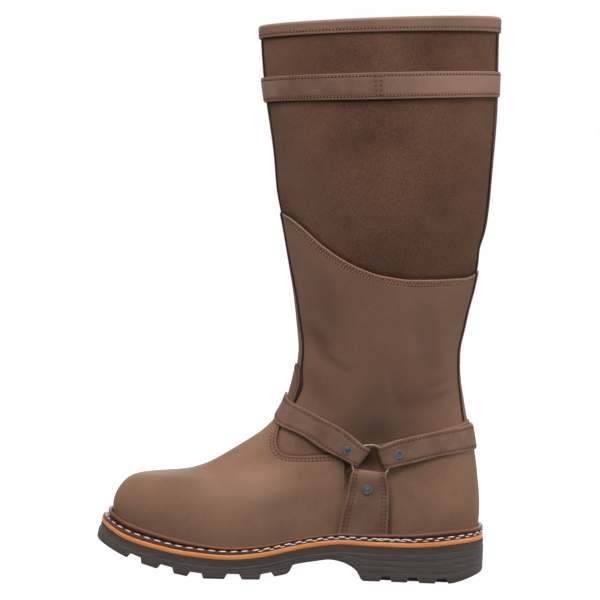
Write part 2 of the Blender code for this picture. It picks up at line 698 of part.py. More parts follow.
def strap_path(name):
    """Runs and heights of a strap: its tail, the fold round the ring, and its way to the far end."""
    pocket, pressed, rivet = STRAP_RUNS[name]
    bend = (HIGH_LAYER - LOW_LAYER) / 2
    path = [(rivet + TAIL, LOW_LAYER), (rivet - TAIL_STEP, LOW_LAYER), (bend, LOW_LAYER)]
    for turn in FOLD_TURNS:
        path.append((bend - bend * math.cos(turn), LOW_LAYER + bend + bend * math.sin(turn)))
    path += [(bend, HIGH_LAYER), (pocket, HIGH_LAYER), (pressed, PRESSED_LAYER)]
    path += [(rivet + TAIL + TAIL_CLEAR, PRESSED_LAYER), (rivet + TAIL + TAIL_SLOPE, FAR_LAYER)]
    length = strap_shares(name, [0.0])[1]
    rest = length - path[-1][0]
    steps = max(1, math.ceil(rest / STRAP_STEP))
    closing = 1 - (1 - np.arange(1, steps + 1) / steps) ** STRAP_CLOSING
    path += [(length - rest * (1 - part), FAR_LAYER) for part in closing]
    runs, heights = np.array(path).T
    return strap_shares(name, runs)[0], heights


def make_strap(node, name, sides, finish, collection):
    """A harness strap. With both sides it runs from one ring round the boot to the other."""
    share, height = strap_path(name)
    across = np.array((0.0, 0.5, 1.0))
    halves = []
    for side in sides:
        grid = strap_point(name, share[:, None], across[None, :], height[:, None], side)
        halves.append(grid)
    grid = halves[0]
    if len(halves) == 2:
        grid = np.concatenate([grid, halves[1][-2::-1]], axis=0)
    made = add_object(node, sheet(node, grid), finish, collection)
    thicken(made, STRAP, 0)
    return made


def make_ring(node, side, finish, collection):
    """Metal ring in the plane that fits the form where its straps hold it."""
    around = np.linspace(0, 2 * math.pi, RING_COLUMNS, endpoint=False)
    rim_x = RING_CENTRE[0] + RING_RADIUS * np.cos(around)
    rim_z = RING_CENTRE[1] + RING_RADIUS * np.sin(around)
    level, angle = locate(rim_x, rim_z)
    rim = surface(level, side * angle, np.full(RING_COLUMNS, RING_HEIGHT))
    centre = rim.mean(axis=0)
    axes = np.linalg.svd(rim - centre)[2]
    wire = np.linspace(0, 2 * math.pi, WIRE_COLUMNS, endpoint=False)[:, None]
    rings = []
    for turn in around:
        spoke = axes[0] * math.cos(turn) + axes[1] * math.sin(turn)
        reach = RING_RADIUS + RING_WIRE / 2 * np.cos(wire)
        rings.append(centre + spoke * reach + axes[2] * RING_WIRE / 2 * np.sin(wire))
    return add_object(node, lofted(node, rings, closed=True), finish, collection)


def make_rivet(node, name, side, finish, collection):
    """Domed rivet head on a harness strap."""
    share = strap_shares(name, [STRAP_RUNS[name][2]])[0]
    lift = PRESSED_LAYER + STRAP / 2 + GAP
    base = strap_point(name, share, 0.5, np.array([lift]), side)[0]
    normal = strap_point(name, share, 0.5, np.array([lift + 1]), side)[0] - base
    beside = np.cross(normal, (0, 0, 1))
    beside /= np.linalg.norm(beside)
    upward = np.cross(beside, normal)
    around = np.linspace(0, 2 * math.pi, RIVET_COLUMNS, endpoint=False)[:, None]
    profile = ((1.0, 0.0), (1.0, 0.45), (0.72, 1.0))
    rings = []
    for radius, height in profile:
        spoke = beside * np.cos(around) + upward * np.sin(around)
        rings.append(base + normal * height * RIVET_HEIGHT + spoke * radius * RIVET_RADIUS)
    return add_object(node, lofted(node, rings, closed=False), finish, collection)


def main():
    for old in list(bpy.data.objects):
        bpy.data.objects.remove(old)
    scene = bpy.context.scene.collection
    boot = bpy.data.collections.new(COLLECTION)
    cutters = bpy.data.collections.new("cutters")
    scene.children.link(boot)
    scene.children.link(cutters)

    waxed = material("waxed_leather", (0.22, 0.13, 0.085), 0.55)
    suede = material("shaft_leather", (0.16, 0.09, 0.06), 0.85)
    strap_leather = material("strap_leather", (0.17, 0.10, 0.07), 0.5)
    trim = material("trim_leather", (0.10, 0.06, 0.045), 0.6)
    rubber = material("sole_rubber", (0.03, 0.028, 0.028), 0.75)
    natural = material("midsole_leather", (0.62, 0.28, 0.09), 0.6)
    welt_leather = material("welt_leather", (0.09, 0.035, 0.02), 0.5)
    board = material("insole_leather", (0.35, 0.25, 0.17), 0.8)
    nickel = material("ring_metal", (0.66, 0.62, 0.55), 0.35, 1.0)
    gunmetal = material("rivet_metal", (0.16, 0.18, 0.22), 0.4, 1.0)

    make_outsole(rubber, boot, cutters)
    make_midsole(natural, boot)
    make_welt(welt_leather, boot)
    make_insole(board, boot)
    make_upper(suede, boot)
    make_vamp(waxed, boot)
    make_counter(waxed, boot)
    make_binding(trim, boot)
    make_piping("piping_front", PIPING_FRONT_ANGLE, PIPING_FRONT_FOOT, trim, boot)
    make_piping("piping_back", PIPING_BACK_ANGLE, PIPING_BACK_FOOT, trim, boot)
    make_calf_strap(strap_leather, boot)
    make_strap("strap_instep", "instep", (1, -1), strap_leather, boot)
    make_strap("strap_heel", "heel", (1, -1), strap_leather, boot)
    for place, side in (("medial", 1), ("lateral", -1)):
        make_strap(f"strap_side_{place}", "side", (side,), strap_leather, boot)
        make_ring(f"ring_{place}", side, nickel, boot)
        for name in STRAP_RUNS:
            make_rivet(f"rivet_{name}_{place}", name, side, gunmetal, boot)


if __name__ == "__main__":
    main()
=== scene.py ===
"""Looks of the tall harness boot: leather panels, seams, stitches, straps, metal and sole.

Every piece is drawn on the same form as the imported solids. Sizes are in millimetres and become
metres where the meshes are made. The toe points to -X, the inner side of the foot faces -Y.
"""

import math

import bpy
import numpy as np
from mathutils import Matrix, Vector
from mathutils.kdtree import KDTree


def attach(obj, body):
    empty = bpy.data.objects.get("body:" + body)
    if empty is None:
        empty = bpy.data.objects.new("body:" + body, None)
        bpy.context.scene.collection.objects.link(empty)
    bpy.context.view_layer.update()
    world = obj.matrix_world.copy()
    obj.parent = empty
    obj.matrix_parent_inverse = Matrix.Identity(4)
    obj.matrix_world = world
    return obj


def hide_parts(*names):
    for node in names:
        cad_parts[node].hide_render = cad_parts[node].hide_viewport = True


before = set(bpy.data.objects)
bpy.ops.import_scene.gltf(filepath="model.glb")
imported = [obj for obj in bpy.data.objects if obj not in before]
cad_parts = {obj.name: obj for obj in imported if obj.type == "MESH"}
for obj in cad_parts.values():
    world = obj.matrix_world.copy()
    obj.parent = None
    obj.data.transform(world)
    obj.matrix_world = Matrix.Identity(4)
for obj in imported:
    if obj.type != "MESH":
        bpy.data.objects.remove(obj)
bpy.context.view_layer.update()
MM = 0.001

# Leather thicknesses, and the heights at which the layers lie over the form of the last
SKIN = 1.2
LINING = 0.7
PANEL = 1.5
PANEL_SEAT = 0.05
STRAP = 1.8
SEAM_STEP = 1.2
BINDING = 1.3
TUCK = 0.6

# Sole stack
SOLE_LENGTH = 309.0
MIDSOLE = 3.8
FOOT_GAP = 0.6
INSOLE = 3.0
TOE_FLARE = 2.6
WELT_TRIM = 1.4
WELT_INNER = 1.8
WELT_OUTER = 5.9
LUG_DEPTH = 4.3

# Harness
RING_CENTRE = (60.4, 92.6)
RING_RADIUS = 14.4
RING_WIRE = 1.9
RING_HEIGHT = 4.8
RIVET_RADIUS = 3.7
RIVET_HEIGHT = 1.3

# Stitches
LEATHER_PITCH = 2.75
HARNESS_PITCH = 3.05
WELT_PITCH = 8.8

# Mesh density
ROUND = 300
SOLE_ROUND = 420

# The photograph's camera: place, aim, roll and field of view
CAMERA = (0.0, -1857.0, 300.0)
AIM = (0.0, 0.0, 217.8)
ROLL = math.radians(2.2)
LENS = 139.41
SENSOR = 36.0

# Side view of the sole: the line that the midsole lies on, and the line of the lug tips
SEAT_LINE = {
    "x": (-154.5, -142, -130, -105, -80, -50, -22, 0, 20, 42, 65, 90, 110, 130, 154.5),
    "z": (38.3, 31.6, 26.4, 20.6, 16.6, 14.6, 17.2, 22.0, 25.6, 27.8, 27.1, 27.0, 28.3, 30.8, 33.4),
}
TREAD_LINE = {
    "x": (-154.5, -128, -104, -85, -68, -24, -11, -1, 2.2, 10, 20, 31, 40, 48.5, 54, 57.4, 123, 149, 154.5),
    "z": (23.8, 13.0, 6.3, 2.3, 0, 0, 2.6, 5.0, 11.4, 13.1, 14.6, 16.0, 14.6, 11.0, 6.2, 0, 0, 6.2, 8.0),
}
# Height of the welt's bead along the sole
BEAD_LINE = {
    "x": (-154.5, -110, -50, 20, 40, 75, 120, 154.5),
    "z": (10.0, 8.8, 6.0, 4.8, 4.8, 6.0, 7.6, 6.4),
}
# Plan view of the last: how far its middle line swings from the long axis
SWING_LINE = {"x": (-154.5, -92, -43, 40, 105, 154.5), "y": (-9.5, -4.5, 0, 3.5, 0.5, 0)}
# Drop of the shaft seam below the straight line between its ends, along the seam
SEAM_LINE = {
    "s": (0, 0.1, 0.2, 0.3, 0.4, 0.5, 0.6, 0.7, 0.8, 0.9, 0.96, 1),
    "z": (0, -3.4, -11.0, -17.0, -21.4, -23.8, -24.0, -22.2, -18.6, -13.0, -7.0, 0),
}


def monotone(line, x):
    """A smooth curve through the points of a two-column table, with no overshoot between them."""
    xs, ys = (np.array(column, float) for column in line.values())
    step = np.diff(xs)
    slope = np.diff(ys) / step
    tangent = np.zeros(len(xs))
    same_way = slope[:-1] * slope[1:] > 0
    mean = 2 * slope[:-1] * slope[1:] / np.where(same_way, slope[:-1] + slope[1:], 1)
    tangent[1:-1] = np.where(same_way, mean, 0)
    tangent[0], tangent[-1] = slope[0], slope[-1]
    x = np.clip(np.asarray(x, float), xs[0], xs[-1])
    i = np.clip(np.searchsorted(xs, x) - 1, 0, len(step) - 1)
    t = (x - xs[i]) / step[i]
    rise = (3 - 2 * t) * t * t
    bend = t * (1 - t) * step[i]
    return ys[i] + (ys[i + 1] - ys[i]) * rise + bend * (tangent[i] * (1 - t) - tangent[i + 1] * t)


def seat(x):
    """Height of the outsole's top, which the midsole lies on."""
    return monotone(SEAT_LINE, x)


def feather(x):
    """Height at which the upper meets the midsole."""
    return seat(x) + MIDSOLE + FOOT_GAP


# The sections of the last, from the sole to the collar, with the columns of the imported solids
SECTION_COLUMNS = (
    "front_x", "front_z", "back_x", "back_z", "ball", "waist", "heel",
    "ball_at", "heel_at", "power", "swing", "follow", "seam",
)
SECTIONS = {
    "feather":    (-140.4, float(feather(-140.4)), 147.6, float(feather(147.6)),
                   48.0, 36.2, 33.0, 0.34, 0.85, 2.35, 1.0, 1.0, 0),
    "wall":       (-141.2, 49.3, 148.5, 51.8, 49.3, 37.4, 34.4, 0.34, 0.85, 2.35, 1.0, 1.0, 0),
    "shoulder":   (-139.2, 59.2, 148.0, 66.8, 48.3, 37.0, 34.0, 0.34, 0.85, 2.35, 1.0, 0.9, 0),
    "crown":      (-131.6, 69.4, 146.4, 79.8, 45.5, 35.8, 32.8, 0.35, 0.84, 2.3, 1.0, 0.75, 0),
    "toe_top":    (-117.4, 74.3, 144.6, 92.8, 41.0, 34.2, 31.4, 0.36, 0.83, 2.25, 1.0, 0.55, 0),
    "vamp_low":   (-93.0, 76.3, 142.2, 105.8, 36.2, 32.6, 30.2, 0.38, 0.81, 2.15, 0.9, 0.35, 0),
    "vamp":       (-67.2, 84.4, 139.6, 118.8, 33.2, 31.8, 29.6, 0.42, 0.78, 2.1, 0.8, 0.2, 0),
    "instep_low": (-41.0, 100.2, 136.4, 132.8, 32.2, 32.2, 30.2, 0.46, 0.74, 2.05, 0.6, 0.1, 0),
    "instep":     (-22.4, 114.0, 133.8, 145.8, 32.8, 33.6, 31.8, 0.48, 0.68, 2.0, 0.4, 0, 0),
    "throat":     (-9.4, 131.6, 131.4, 158.8, 34.6, 35.4, 34.2, 0.5, 0.62, 2.0, 0.2, 0, 0),
    "tongue":     (-2.8, 153.5, 130.2, 172.8, 37.0, 37.4, 37.0, 0.5, 0.56, 1.95, 0.1, 0, 0),
    "ankle":      (0.2, 176.0, 130.4, 185.8, 38.9, 38.9, 38.9, 0.5, 0.52, 1.95, 0, 0, 0),
    "shin":       (-1.6, 195.8, 132.9, 198.8, 40.0, 40.0, 40.0, 0.5, 0.5, 1.9, 0, 0, 0.1),
    "calf_low":   (-5.2, 220.8, 136.0, 215.8, 41.0, 41.0, 41.0, 0.5, 0.5, 1.9, 0, 0, 0.4),
    "calf":       (-10.8, 248.8, 139.8, 232.8, 42.1, 42.1, 42.1, 0.5, 0.5, 1.9, 0, 0, 0.75),
    "seam":       (-18.0, 282.8, 143.4, 254.8, 43.4, 43.4, 43.4, 0.5, 0.5, 1.9, 0, 0, 1.0),
    "above_seam": (-23.6, 306.8, 149.0, 291.8, 45.4, 45.4, 45.4, 0.5, 0.5, 1.9, 0, 0, 0.75),
    "shaft_low":  (-27.0, 334.8, 151.2, 329.8, 47.2, 47.2, 47.2, 0.5, 0.5, 1.9, 0, 0, 0.4),
    "shaft":      (-32.6, 366.8, 152.0, 368.8, 48.6, 48.6, 48.6, 0.5, 0.5, 1.9, 0, 0, 0.1),
    "shaft_high": (-38.2, 400.8, 152.0, 408.8, 49.2, 49.2, 49.2, 0.5, 0.5, 1.9, 0, 0, 0),
    "collar":     (-41.0, 432.9, 151.3, 446.6, 49.6, 49.6, 49.6, 0.5, 0.5, 1.9, 0, 0, 0),
}
LEVELS = {name: level for level, name in enumerate(SECTIONS)}
TOP = LEVELS["collar"]
SEAM = LEVELS["seam"]

# The outline of the sole, with the same columns
SOLE_OUTLINE = {
    "front_x": -SOLE_LENGTH / 2, "back_x": SOLE_LENGTH / 2, "ball": 55.5, "waist": 43.2, "heel": 39.6,
    "ball_at": 0.345, "heel_at": 0.85, "power": 2.35, "swing": 1.0,
}
# Share of the way from the ball to the heel at which a ring is narrowest
WAIST_AT = 0.55


def natural_spline(values):
    """Second derivatives of a smooth curve through evenly spaced rows, one curve for each column."""
    count = len(values)
    system = np.eye(count)
    curve = np.zeros_like(values)
    for i in range(1, count - 1):
        system[i, i - 1:i + 2] = 1, 4, 1
        curve[i] = 6 * (values[i + 1] - 2 * values[i] + values[i - 1])
    return np.linalg.solve(system, curve)


SECTION_VALUES = np.array(list(SECTIONS.values()), float)
SECTION_CURVES = natural_spline(SECTION_VALUES)


def section(level):
    """The columns of the section at a level, which may lie between two rows of the table."""
    level = np.asarray(level, float)
    i = np.clip(np.floor(level).astype(int), 0, TOP - 1)
    t = (level - i)[..., None]
    low, high = SECTION_VALUES[i], SECTION_VALUES[i + 1]
    bend_low, bend_high = SECTION_CURVES[i], SECTION_CURVES[i + 1]
    values = low + t * (high - low - (2 * bend_low + bend_high) / 6)
    values = values + t * t * bend_low / 2 + t ** 3 * (bend_high - bend_low) / 6
    return dict(zip(SECTION_COLUMNS, np.moveaxis(values, -1, 0)))


def ease(t):
    """0 to 1 with a soft start and end."""
    t = np.clip(t, 0, 1)
    return t * t * (3 - 2 * t)


def share_at(angle):
    """Share of the way from the front to the back of a ring, at an angle round it."""
    return (1 - np.cos(angle)) / 2


def rounded_end(t, power):
    """0 at the end of a ring, 1 where its full width starts, with a blunt round between."""
    inside = 1 - np.clip(t, 0, 1)
    return np.maximum(1 - inside ** power, 0) ** (1 / power)


def half_width(ring, s):
    """Half width of a ring at a share s of the way from its front to its back."""
    waist_at = ring["ball_at"] + WAIST_AT * (ring["heel_at"] - ring["ball_at"])
    to_waist = ease((s - ring["ball_at"]) / np.maximum(waist_at - ring["ball_at"], 1e-6))
    to_heel = ease((s - waist_at) / np.maximum(ring["heel_at"] - waist_at, 1e-6))
    width = ring["ball"] + (ring["waist"] - ring["ball"]) * to_waist
    width = width + (ring["heel"] - ring["waist"]) * to_heel
    front = rounded_end(s / ring["ball_at"], ring["power"])
    back = rounded_end((1 - s) / (1 - ring["heel_at"]), ring["power"])
    return width * front * back


def plan_point(ring, angle):
    """x, y and share s on a ring. The angle runs from the toe by the inner side to the heel and back."""
    s = share_at(angle)
    x = ring["front_x"] + s * (ring["back_x"] - ring["front_x"])
    side = np.where(np.sin(angle) >= 0, -1.0, 1.0)
    y = ring["swing"] * monotone(SWING_LINE, x) + side * half_width(ring, s)
    return x, y, s


def ring_height(ring, x, s):
    """Height of a ring: its chord, bent to follow the sole and the shaft seam."""
    chord = ring["front_z"] + s * (ring["back_z"] - ring["front_z"])
    sole_front, sole_back = seat(ring["front_x"]), seat(ring["back_x"])
    sole_bend = seat(x) - (sole_front + s * (sole_back - sole_front))
    return chord + ring["follow"] * sole_bend + ring["seam"] * monotone(SEAM_LINE, s)


def form(level, angle):
    """Point of the last's surface, which the outside of the lower shaft follows."""
    ring = section(level)
    x, y, s = plan_point(ring, angle)
    return np.stack([x, y, ring_height(ring, x, s)], axis=-1)


def slopes(level, angle):
    """How the form moves with the level and with the angle."""
    step = 0.02
    by_level = (form(level + step, angle) - form(level - step, angle)) / (2 * step)
    by_angle = (form(level, angle + step) - form(level, angle - step)) / (2 * step)
    return by_level, by_angle


def unit(vectors):
    return vectors / np.linalg.norm(vectors, axis=-1, keepdims=True)


def skin(level, angle):
    """Point and outward normal of the form."""
    level, angle = np.broadcast_arrays(np.asarray(level, float), np.asarray(angle, float))
    by_level, by_angle = slopes(level, angle)
    return form(level, angle), unit(np.cross(by_angle, by_level))


def surface(level, angle, lift):
    """Point at a height above the form, measured along its normal."""
    point, normal = skin(level, angle)
    return point + np.asarray(lift, float)[..., None] * normal


def locate(x, z):
    """Level and angle on the inner side of the form for a point of the side view."""
    x, z = np.broadcast_arrays(np.asarray(x, float), np.asarray(z, float))
    low, high = np.zeros(x.shape), np.full(x.shape, float(TOP))
    for _ in range(40):
        level = (low + high) / 2
        ring = section(level)
        s = np.clip((x - ring["front_x"]) / (ring["back_x"] - ring["front_x"]), 0, 1)
        below = ring_height(ring, x, s) < z
        low, high = np.where(below, level, low), np.where(below, high, level)
    return level, np.arccos(1 - 2 * s)


# Curves on the form, as rows of level and angle, which are scaled to about the same size for smoothing

CURVE_SCALE = np.array((15.0, 60.0))


def lengths(points):
    return np.concatenate([[0.0], np.cumsum(np.linalg.norm(np.diff(points, axis=0), axis=1))])


def smooth_path(points, fine=16):
    """A smooth curve through a few points."""
    t = lengths(points)
    slope = np.gradient(points, t, axis=0)
    at = np.concatenate([np.linspace(a, b, fine, endpoint=False) for a, b in zip(t, t[1:])] + [t[-1:]])
    i = np.clip(np.searchsorted(t, at, side="right") - 1, 0, len(t) - 2)
    step = (t[i + 1] - t[i])[:, None]
    s = (at - t[i])[:, None] / step
    start = (1 + 2 * s) * (1 - s) ** 2 * points[i] + s * (1 - s) ** 2 * step * slope[i]
    end = s * s * (3 - 2 * s) * points[i + 1] + s * s * (s - 1) * step * slope[i + 1]
    return start + end


def columns_at(at, run, table):
    """The columns of a table of points, read at runs along it."""
    return np.stack([np.interp(at, run, column) for column in table.T], axis=1)


def even(curve, count):
    """Even steps along a curve on the form."""
    length = lengths(form(curve[:, 0], curve[:, 1]))
    return columns_at(np.linspace(0, length[-1], count), length, curve)


def edge_curve(table, first_angle=None, last_angle=None):
    """The curve on the form for an edge given in side view."""
    level, angle = locate(*table.values())
    if first_angle is not None:
        angle[0] = first_angle
    if last_angle is not None:
        angle[-1] = last_angle
    return smooth_path(np.stack([level, angle], axis=1) * CURVE_SCALE) / CURVE_SCALE


def shifted(curve, distance):
    """A curve moved across itself on the form, upwards where it runs to the heel on the inner side."""
    level, angle = curve.T
    point, normal = skin(level, angle)
    aside = np.cross(normal, unit(np.gradient(point, axis=0))) * distance
    by_level, by_angle = slopes(level, angle)
    a = (by_level * by_level).sum(1)
    b = (by_level * by_angle).sum(1)
    c = (by_angle * by_angle).sum(1)
    p, q = (by_level * aside).sum(1), (by_angle * aside).sum(1)
    moved = np.stack([c * p - b * q, a * q - b * p], axis=1) / (a * c - b * b)[:, None]
    return curve + moved


def mirrored(curve):
    """The same curve on the outer side."""
    return curve * np.array((1.0, -1.0))


def distance_to(points, line):
    """Distance of each point from the nearest point of a line."""
    tree = KDTree(len(line))
    for i, point in enumerate(line):
        tree.insert(point, i)
    tree.balance()
    flat = points.reshape(-1, 3)
    return np.array([tree.find(point)[2] for point in flat]).reshape(points.shape[:-1])


# Making meshes

def quads(rows, columns, wrap_rows, wrap_columns):
    """Corners of the faces of a grid of points."""
    r = np.arange(rows if wrap_rows else rows - 1)
    c = np.arange(columns if wrap_columns else columns - 1)
    r, c = (side.ravel() for side in np.meshgrid(r, c, indexing="ij"))
    next_r, next_c = (r + 1) % rows, (c + 1) % columns
    corners = (r * columns + c, r * columns + next_c, next_r * columns + next_c, next_r * columns + c)
    return np.stack(corners, axis=1)


def volume(points, faces):
    """Six times the signed volume inside four-cornered faces."""
    a, b, c, d = (points[faces[:, i]] for i in range(4))
    return (a * np.cross(b, c)).sum() + (a * np.cross(c, d)).sum()


def add_piece(name, points, faces, finish, caps=(), sharp=50.0, **attributes):
    """A smooth closed mesh from points in millimetres, with its faces turned outwards."""
    points = points.reshape(-1, 3)
    if volume(points, faces) < 0:
        faces = faces[:, ::-1]
        caps = [cap[::-1] for cap in caps]
    corners = np.concatenate([faces.ravel()] + [np.asarray(cap) for cap in caps])
    sizes = np.array([4] * len(faces) + [len(cap) for cap in caps])
    mesh = bpy.data.meshes.new(name)
    mesh.vertices.add(len(points))
    mesh.vertices.foreach_set("co", (points * MM).astype(np.float32).ravel())
    mesh.loops.add(len(corners))
    mesh.loops.foreach_set("vertex_index", corners.astype(np.int32))
    mesh.polygons.add(len(sizes))
    mesh.polygons.foreach_set("loop_start", (np.cumsum(sizes) - sizes).astype(np.int32))
    mesh.update(calc_edges=True)
    mesh.shade_smooth()
    mesh.set_sharp_from_angle(angle=math.radians(sharp))
    for key, values in attributes.items():
        layer = mesh.attributes.new(key, "FLOAT", "POINT")
        layer.data.foreach_set("value", np.asarray(values, np.float32).ravel())
    return add_object(name, mesh, finish)


def add_object(name, mesh, finish):
    mesh.materials.clear()
    mesh.materials.append(finish)
    made = bpy.data.objects.new(name, mesh)
    bpy.context.scene.collection.objects.link(made)
    return made


def dress(piece, nodes=()):
    """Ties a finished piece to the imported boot."""
    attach(piece, "root")
    if nodes:
        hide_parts(*nodes)
    return piece


def loft(name, rings, finish, closed, **attributes):
    """Closed rings joined in order. A closed loft meets its first ring again, an open one is capped."""
    rows, columns = rings.shape[:2]
    values = {key: np.broadcast_to(value, (rows, columns)) for key, value in attributes.items()}
    caps = []
    if not closed:
        last = (rows - 1) * columns
        caps = [list(range(columns))[::-1], list(range(last, last + columns))]
    return add_piece(name, rings, quads(rows, columns, closed, True), finish, caps, **values)


def sandwich(name, outer, inner, finish, wrap=False, **attributes):
    """A sheet of leather between two grids of points, closed along its edges."""
    rows, columns = outer.shape[:2]
    count = rows * columns
    index = np.arange(count).reshape(rows, columns)
    if wrap:
        index = np.concatenate([index, index[:, :1]], axis=1)
    face = quads(rows, columns, False, wrap)
    parts = [face, face[:, ::-1] + count]
    borders = [index[0][::-1], index[-1]]
    if not wrap:
        borders += [index[:, 0], index[:, -1][::-1]]
    for border in borders:
        start, end = border[:-1], border[1:]
        parts.append(np.stack([start, end, end + count, start + count], axis=1))
    both = {key: np.concatenate([values.ravel(), values.ravel()]) for key, values in attributes.items()}
    points = np.concatenate([outer.reshape(-1, 3), inner.reshape(-1, 3)])
    return add_piece(name, points, np.concatenate(parts), finish, **both)


def rounded_box(width, height, radius, across, corner=4):
    """Loop of a strap's section, as places across its width and heights from its middle."""
    side, top = width / 2 - radius, height / 2 - radius
    turns = np.linspace(0, math.pi / 2, corner + 1)
    flat = np.linspace(side, -side, across + 2)[1:-1]
    loop = []
    for quarter, (x, z) in enumerate(((side, top), (-side, top), (-side, -top), (side, -top))):
        turn = turns + quarter * math.pi / 2
        loop.append(np.stack([x + radius * np.cos(turn), z + radius * np.sin(turn)], axis=1))
        if quarter in (0, 2):
            way = 1 - quarter
            loop.append(np.stack([way * flat, np.full(across, way * height / 2)], axis=1))
    return np.concatenate(loop)


def bell(distance, width):
    """A soft bump: 1 at no distance, fading over a width."""
    return np.exp(-(distance / width) ** 2)


def around(count):
    return np.linspace(0, 2 * math.pi, count, endpoint=False)


# Materials

# Tone of painted shade in seams, hollows and under straps, as shares of a leather's dark tone, and of the
# rubber under the midsole
SHADE_TINT = (0.44, 0.38, 0.35)
EDGE_SHADE = (50, 49, 51)


def linear(colour):
    """A colour given as 0 to 255, as the shader wants it."""
    share = np.array(colour, float) / 255
    return (*np.where(share <= 0.04045, share / 12.92, ((share + 0.055) / 1.055) ** 2.4), 1.0)


def add_node(tree, kind, inputs=None, **settings):
    """A node with its settings. Each input is a value or the socket that it comes from."""
    made = tree.nodes.new(kind)
    for name, value in settings.items():
        setattr(made, name, value)
    for socket, value in (inputs or {}).items():
        if isinstance(value, bpy.types.NodeSocket):
            tree.links.new(value, made.inputs[socket])
        else:
            made.inputs[socket].default_value = value
    return made


def new_finish(name, **sockets):
    """A material, its tree and its shader, with the values that are the same all over."""
    made = bpy.data.materials.new(name)
    made.use_nodes = True
    shader = made.node_tree.nodes["Principled BSDF"]
    for socket, value in sockets.items():
        shader.inputs[socket.replace("_", " ")].default_value = value
    return made, made.node_tree, shader


def plug(tree, shader, **sources):
    """Joins what varies over a material to its shader."""
    for socket, source in sources.items():
        tree.links.new(source, shader.inputs[socket.replace("_", " ")])


def object_coords(tree):
    return add_node(tree, "ShaderNodeTexCoord").outputs["Object"]


def noise(tree, coords, size, detail=3.0, rough=0.5):
    """Noise whose lumps are about a size in millimetres."""
    inputs = {"Vector": coords, "Scale": 1 / (size * MM), "Detail": detail, "Roughness": rough}
    return add_node(tree, "ShaderNodeTexNoise", inputs).outputs[0]


def spread(tree, value, low, high, to_low=0.0, to_high=1.0):
    """Stretches a range of values to another, and stops at its ends."""
    inputs = {"Value": value, "From Min": low, "From Max": high, "To Min": to_low, "To Max": to_high}
    return add_node(tree, "ShaderNodeMapRange", inputs).outputs[0]


def mix(tree, share, first, second, blend="MIX"):
    """A colour between two others, or one blended with the other."""
    inputs = {0: share, 6: first, 7: second}
    return add_node(tree, "ShaderNodeMix", inputs, data_type="RGBA", blend_type=blend).outputs[2]


def bump(tree, height, depth, strength=1.0, under=None):
    """Relief from a height, with a depth in millimetres, laid over another relief."""
    inputs = {"Height": height, "Distance": depth * MM, "Strength": strength}
    if under is not None:
        inputs["Normal"] = under
    return add_node(tree, "ShaderNodeBump", inputs).outputs[0]


def attribute(tree, name):
    return add_node(tree, "ShaderNodeAttribute", attribute_name=name).outputs["Fac"]


def leather(name, dark, light, worn, cloud, grain, depth, gloss, speckle=0.06, **sockets):
    """Leather: cloudy tone, fine flecks and pores, lighter worn edges, painted highlights and painted
    shade.
    """
    made, tree, shader = new_finish(name, **sockets)
    coords = object_coords(tree)
    clouds = noise(tree, coords, cloud, 4.0, 0.55)
    flecks = noise(tree, coords, grain * 1.8, 3.0, 0.65)
    pores = noise(tree, coords, grain, 2.0, 0.65)
    tone = mix(tree, spread(tree, clouds, 0.3, 0.7), linear(dark), linear(light))
    brightness = spread(tree, flecks, 0.3, 0.7, 1 - 2 * speckle, 1 + 2 * speckle)
    tone = mix(tree, 1.0, tone, brightness, "MULTIPLY")
    # Lighter where worn and where a highlight is painted, darker where shade is painted
    tone = mix(tree, attribute(tree, "worn"), tone, linear(worn))
    shaded = [value * tint for value, tint in zip(dark, SHADE_TINT)]
    tone = mix(tree, attribute(tree, "shade"), tone, linear(shaded))
    relief = bump(tree, clouds, depth * 4, 0.35)
    plug(tree, shader, Base_Color=tone, Roughness=spread(tree, flecks, 0.3, 0.7, *gloss),
         Normal=bump(tree, pores, depth, 0.7, relief))
    return made


def thread(name, dark, light, gloss):
    """Twisted thread."""
    made, tree, shader = new_finish(name, Roughness=gloss)
    coords = object_coords(tree)
    strands = spread(tree, noise(tree, coords, 1.1, 2.0), 0.38, 0.62)
    plug(tree, shader, Base_Color=mix(tree, strands, linear(dark), linear(light)),
         Normal=bump(tree, noise(tree, coords, 0.35), 0.08))
    return made


def metal(name, dark, light, gloss, scratch):
    """Plated metal with small stains and scratches."""
    made, tree, shader = new_finish(name, Metallic=1.0)
    coords = object_coords(tree)
    stains = noise(tree, coords, 2.2, 5.0, 0.6)
    tone = mix(tree, spread(tree, stains, 0.35, 0.65), linear(dark), linear(light))
    # Lighter where the attribute says so: the painted highlight round the rivets' rims
    tone = mix(tree, attribute(tree, "worn"), tone, linear(light))
    plug(tree, shader, Base_Color=tone, Roughness=spread(tree, stains, 0.3, 0.7, *gloss),
         Normal=bump(tree, noise(tree, coords, 0.5, 4.0), scratch))
    return made


def streaked(name, dark, light, grain, gloss, depth, **sockets):
    """Rubber or a cut leather edge: fine streaks along the sole."""
    made, tree, shader = new_finish(name, Roughness=gloss, **sockets)
    coords = object_coords(tree)
    stretch = add_node(tree, "ShaderNodeMapping", {"Vector": coords, "Scale": (0.06, 0.06, 1.0)})
    streaks = noise(tree, stretch.outputs[0], grain, 4.0, 0.6)
    dust = noise(tree, coords, grain * 5, 5.0, 0.65)
    tone = mix(tree, spread(tree, streaks, 0.36, 0.66), linear(dark), linear(light))
    tone = mix(tree, spread(tree, dust, 0.5, 0.75, 0.0, 0.4), tone, linear(light))
    tone = mix(tree, attribute(tree, "shade"), tone, linear(EDGE_SHADE))
    relief = bump(tree, streaks, depth, 0.5)
    plug(tree, shader, Base_Color=tone,
         Normal=bump(tree, noise(tree, coords, grain * 0.4), depth * 0.5, 0.5, relief))
    return made


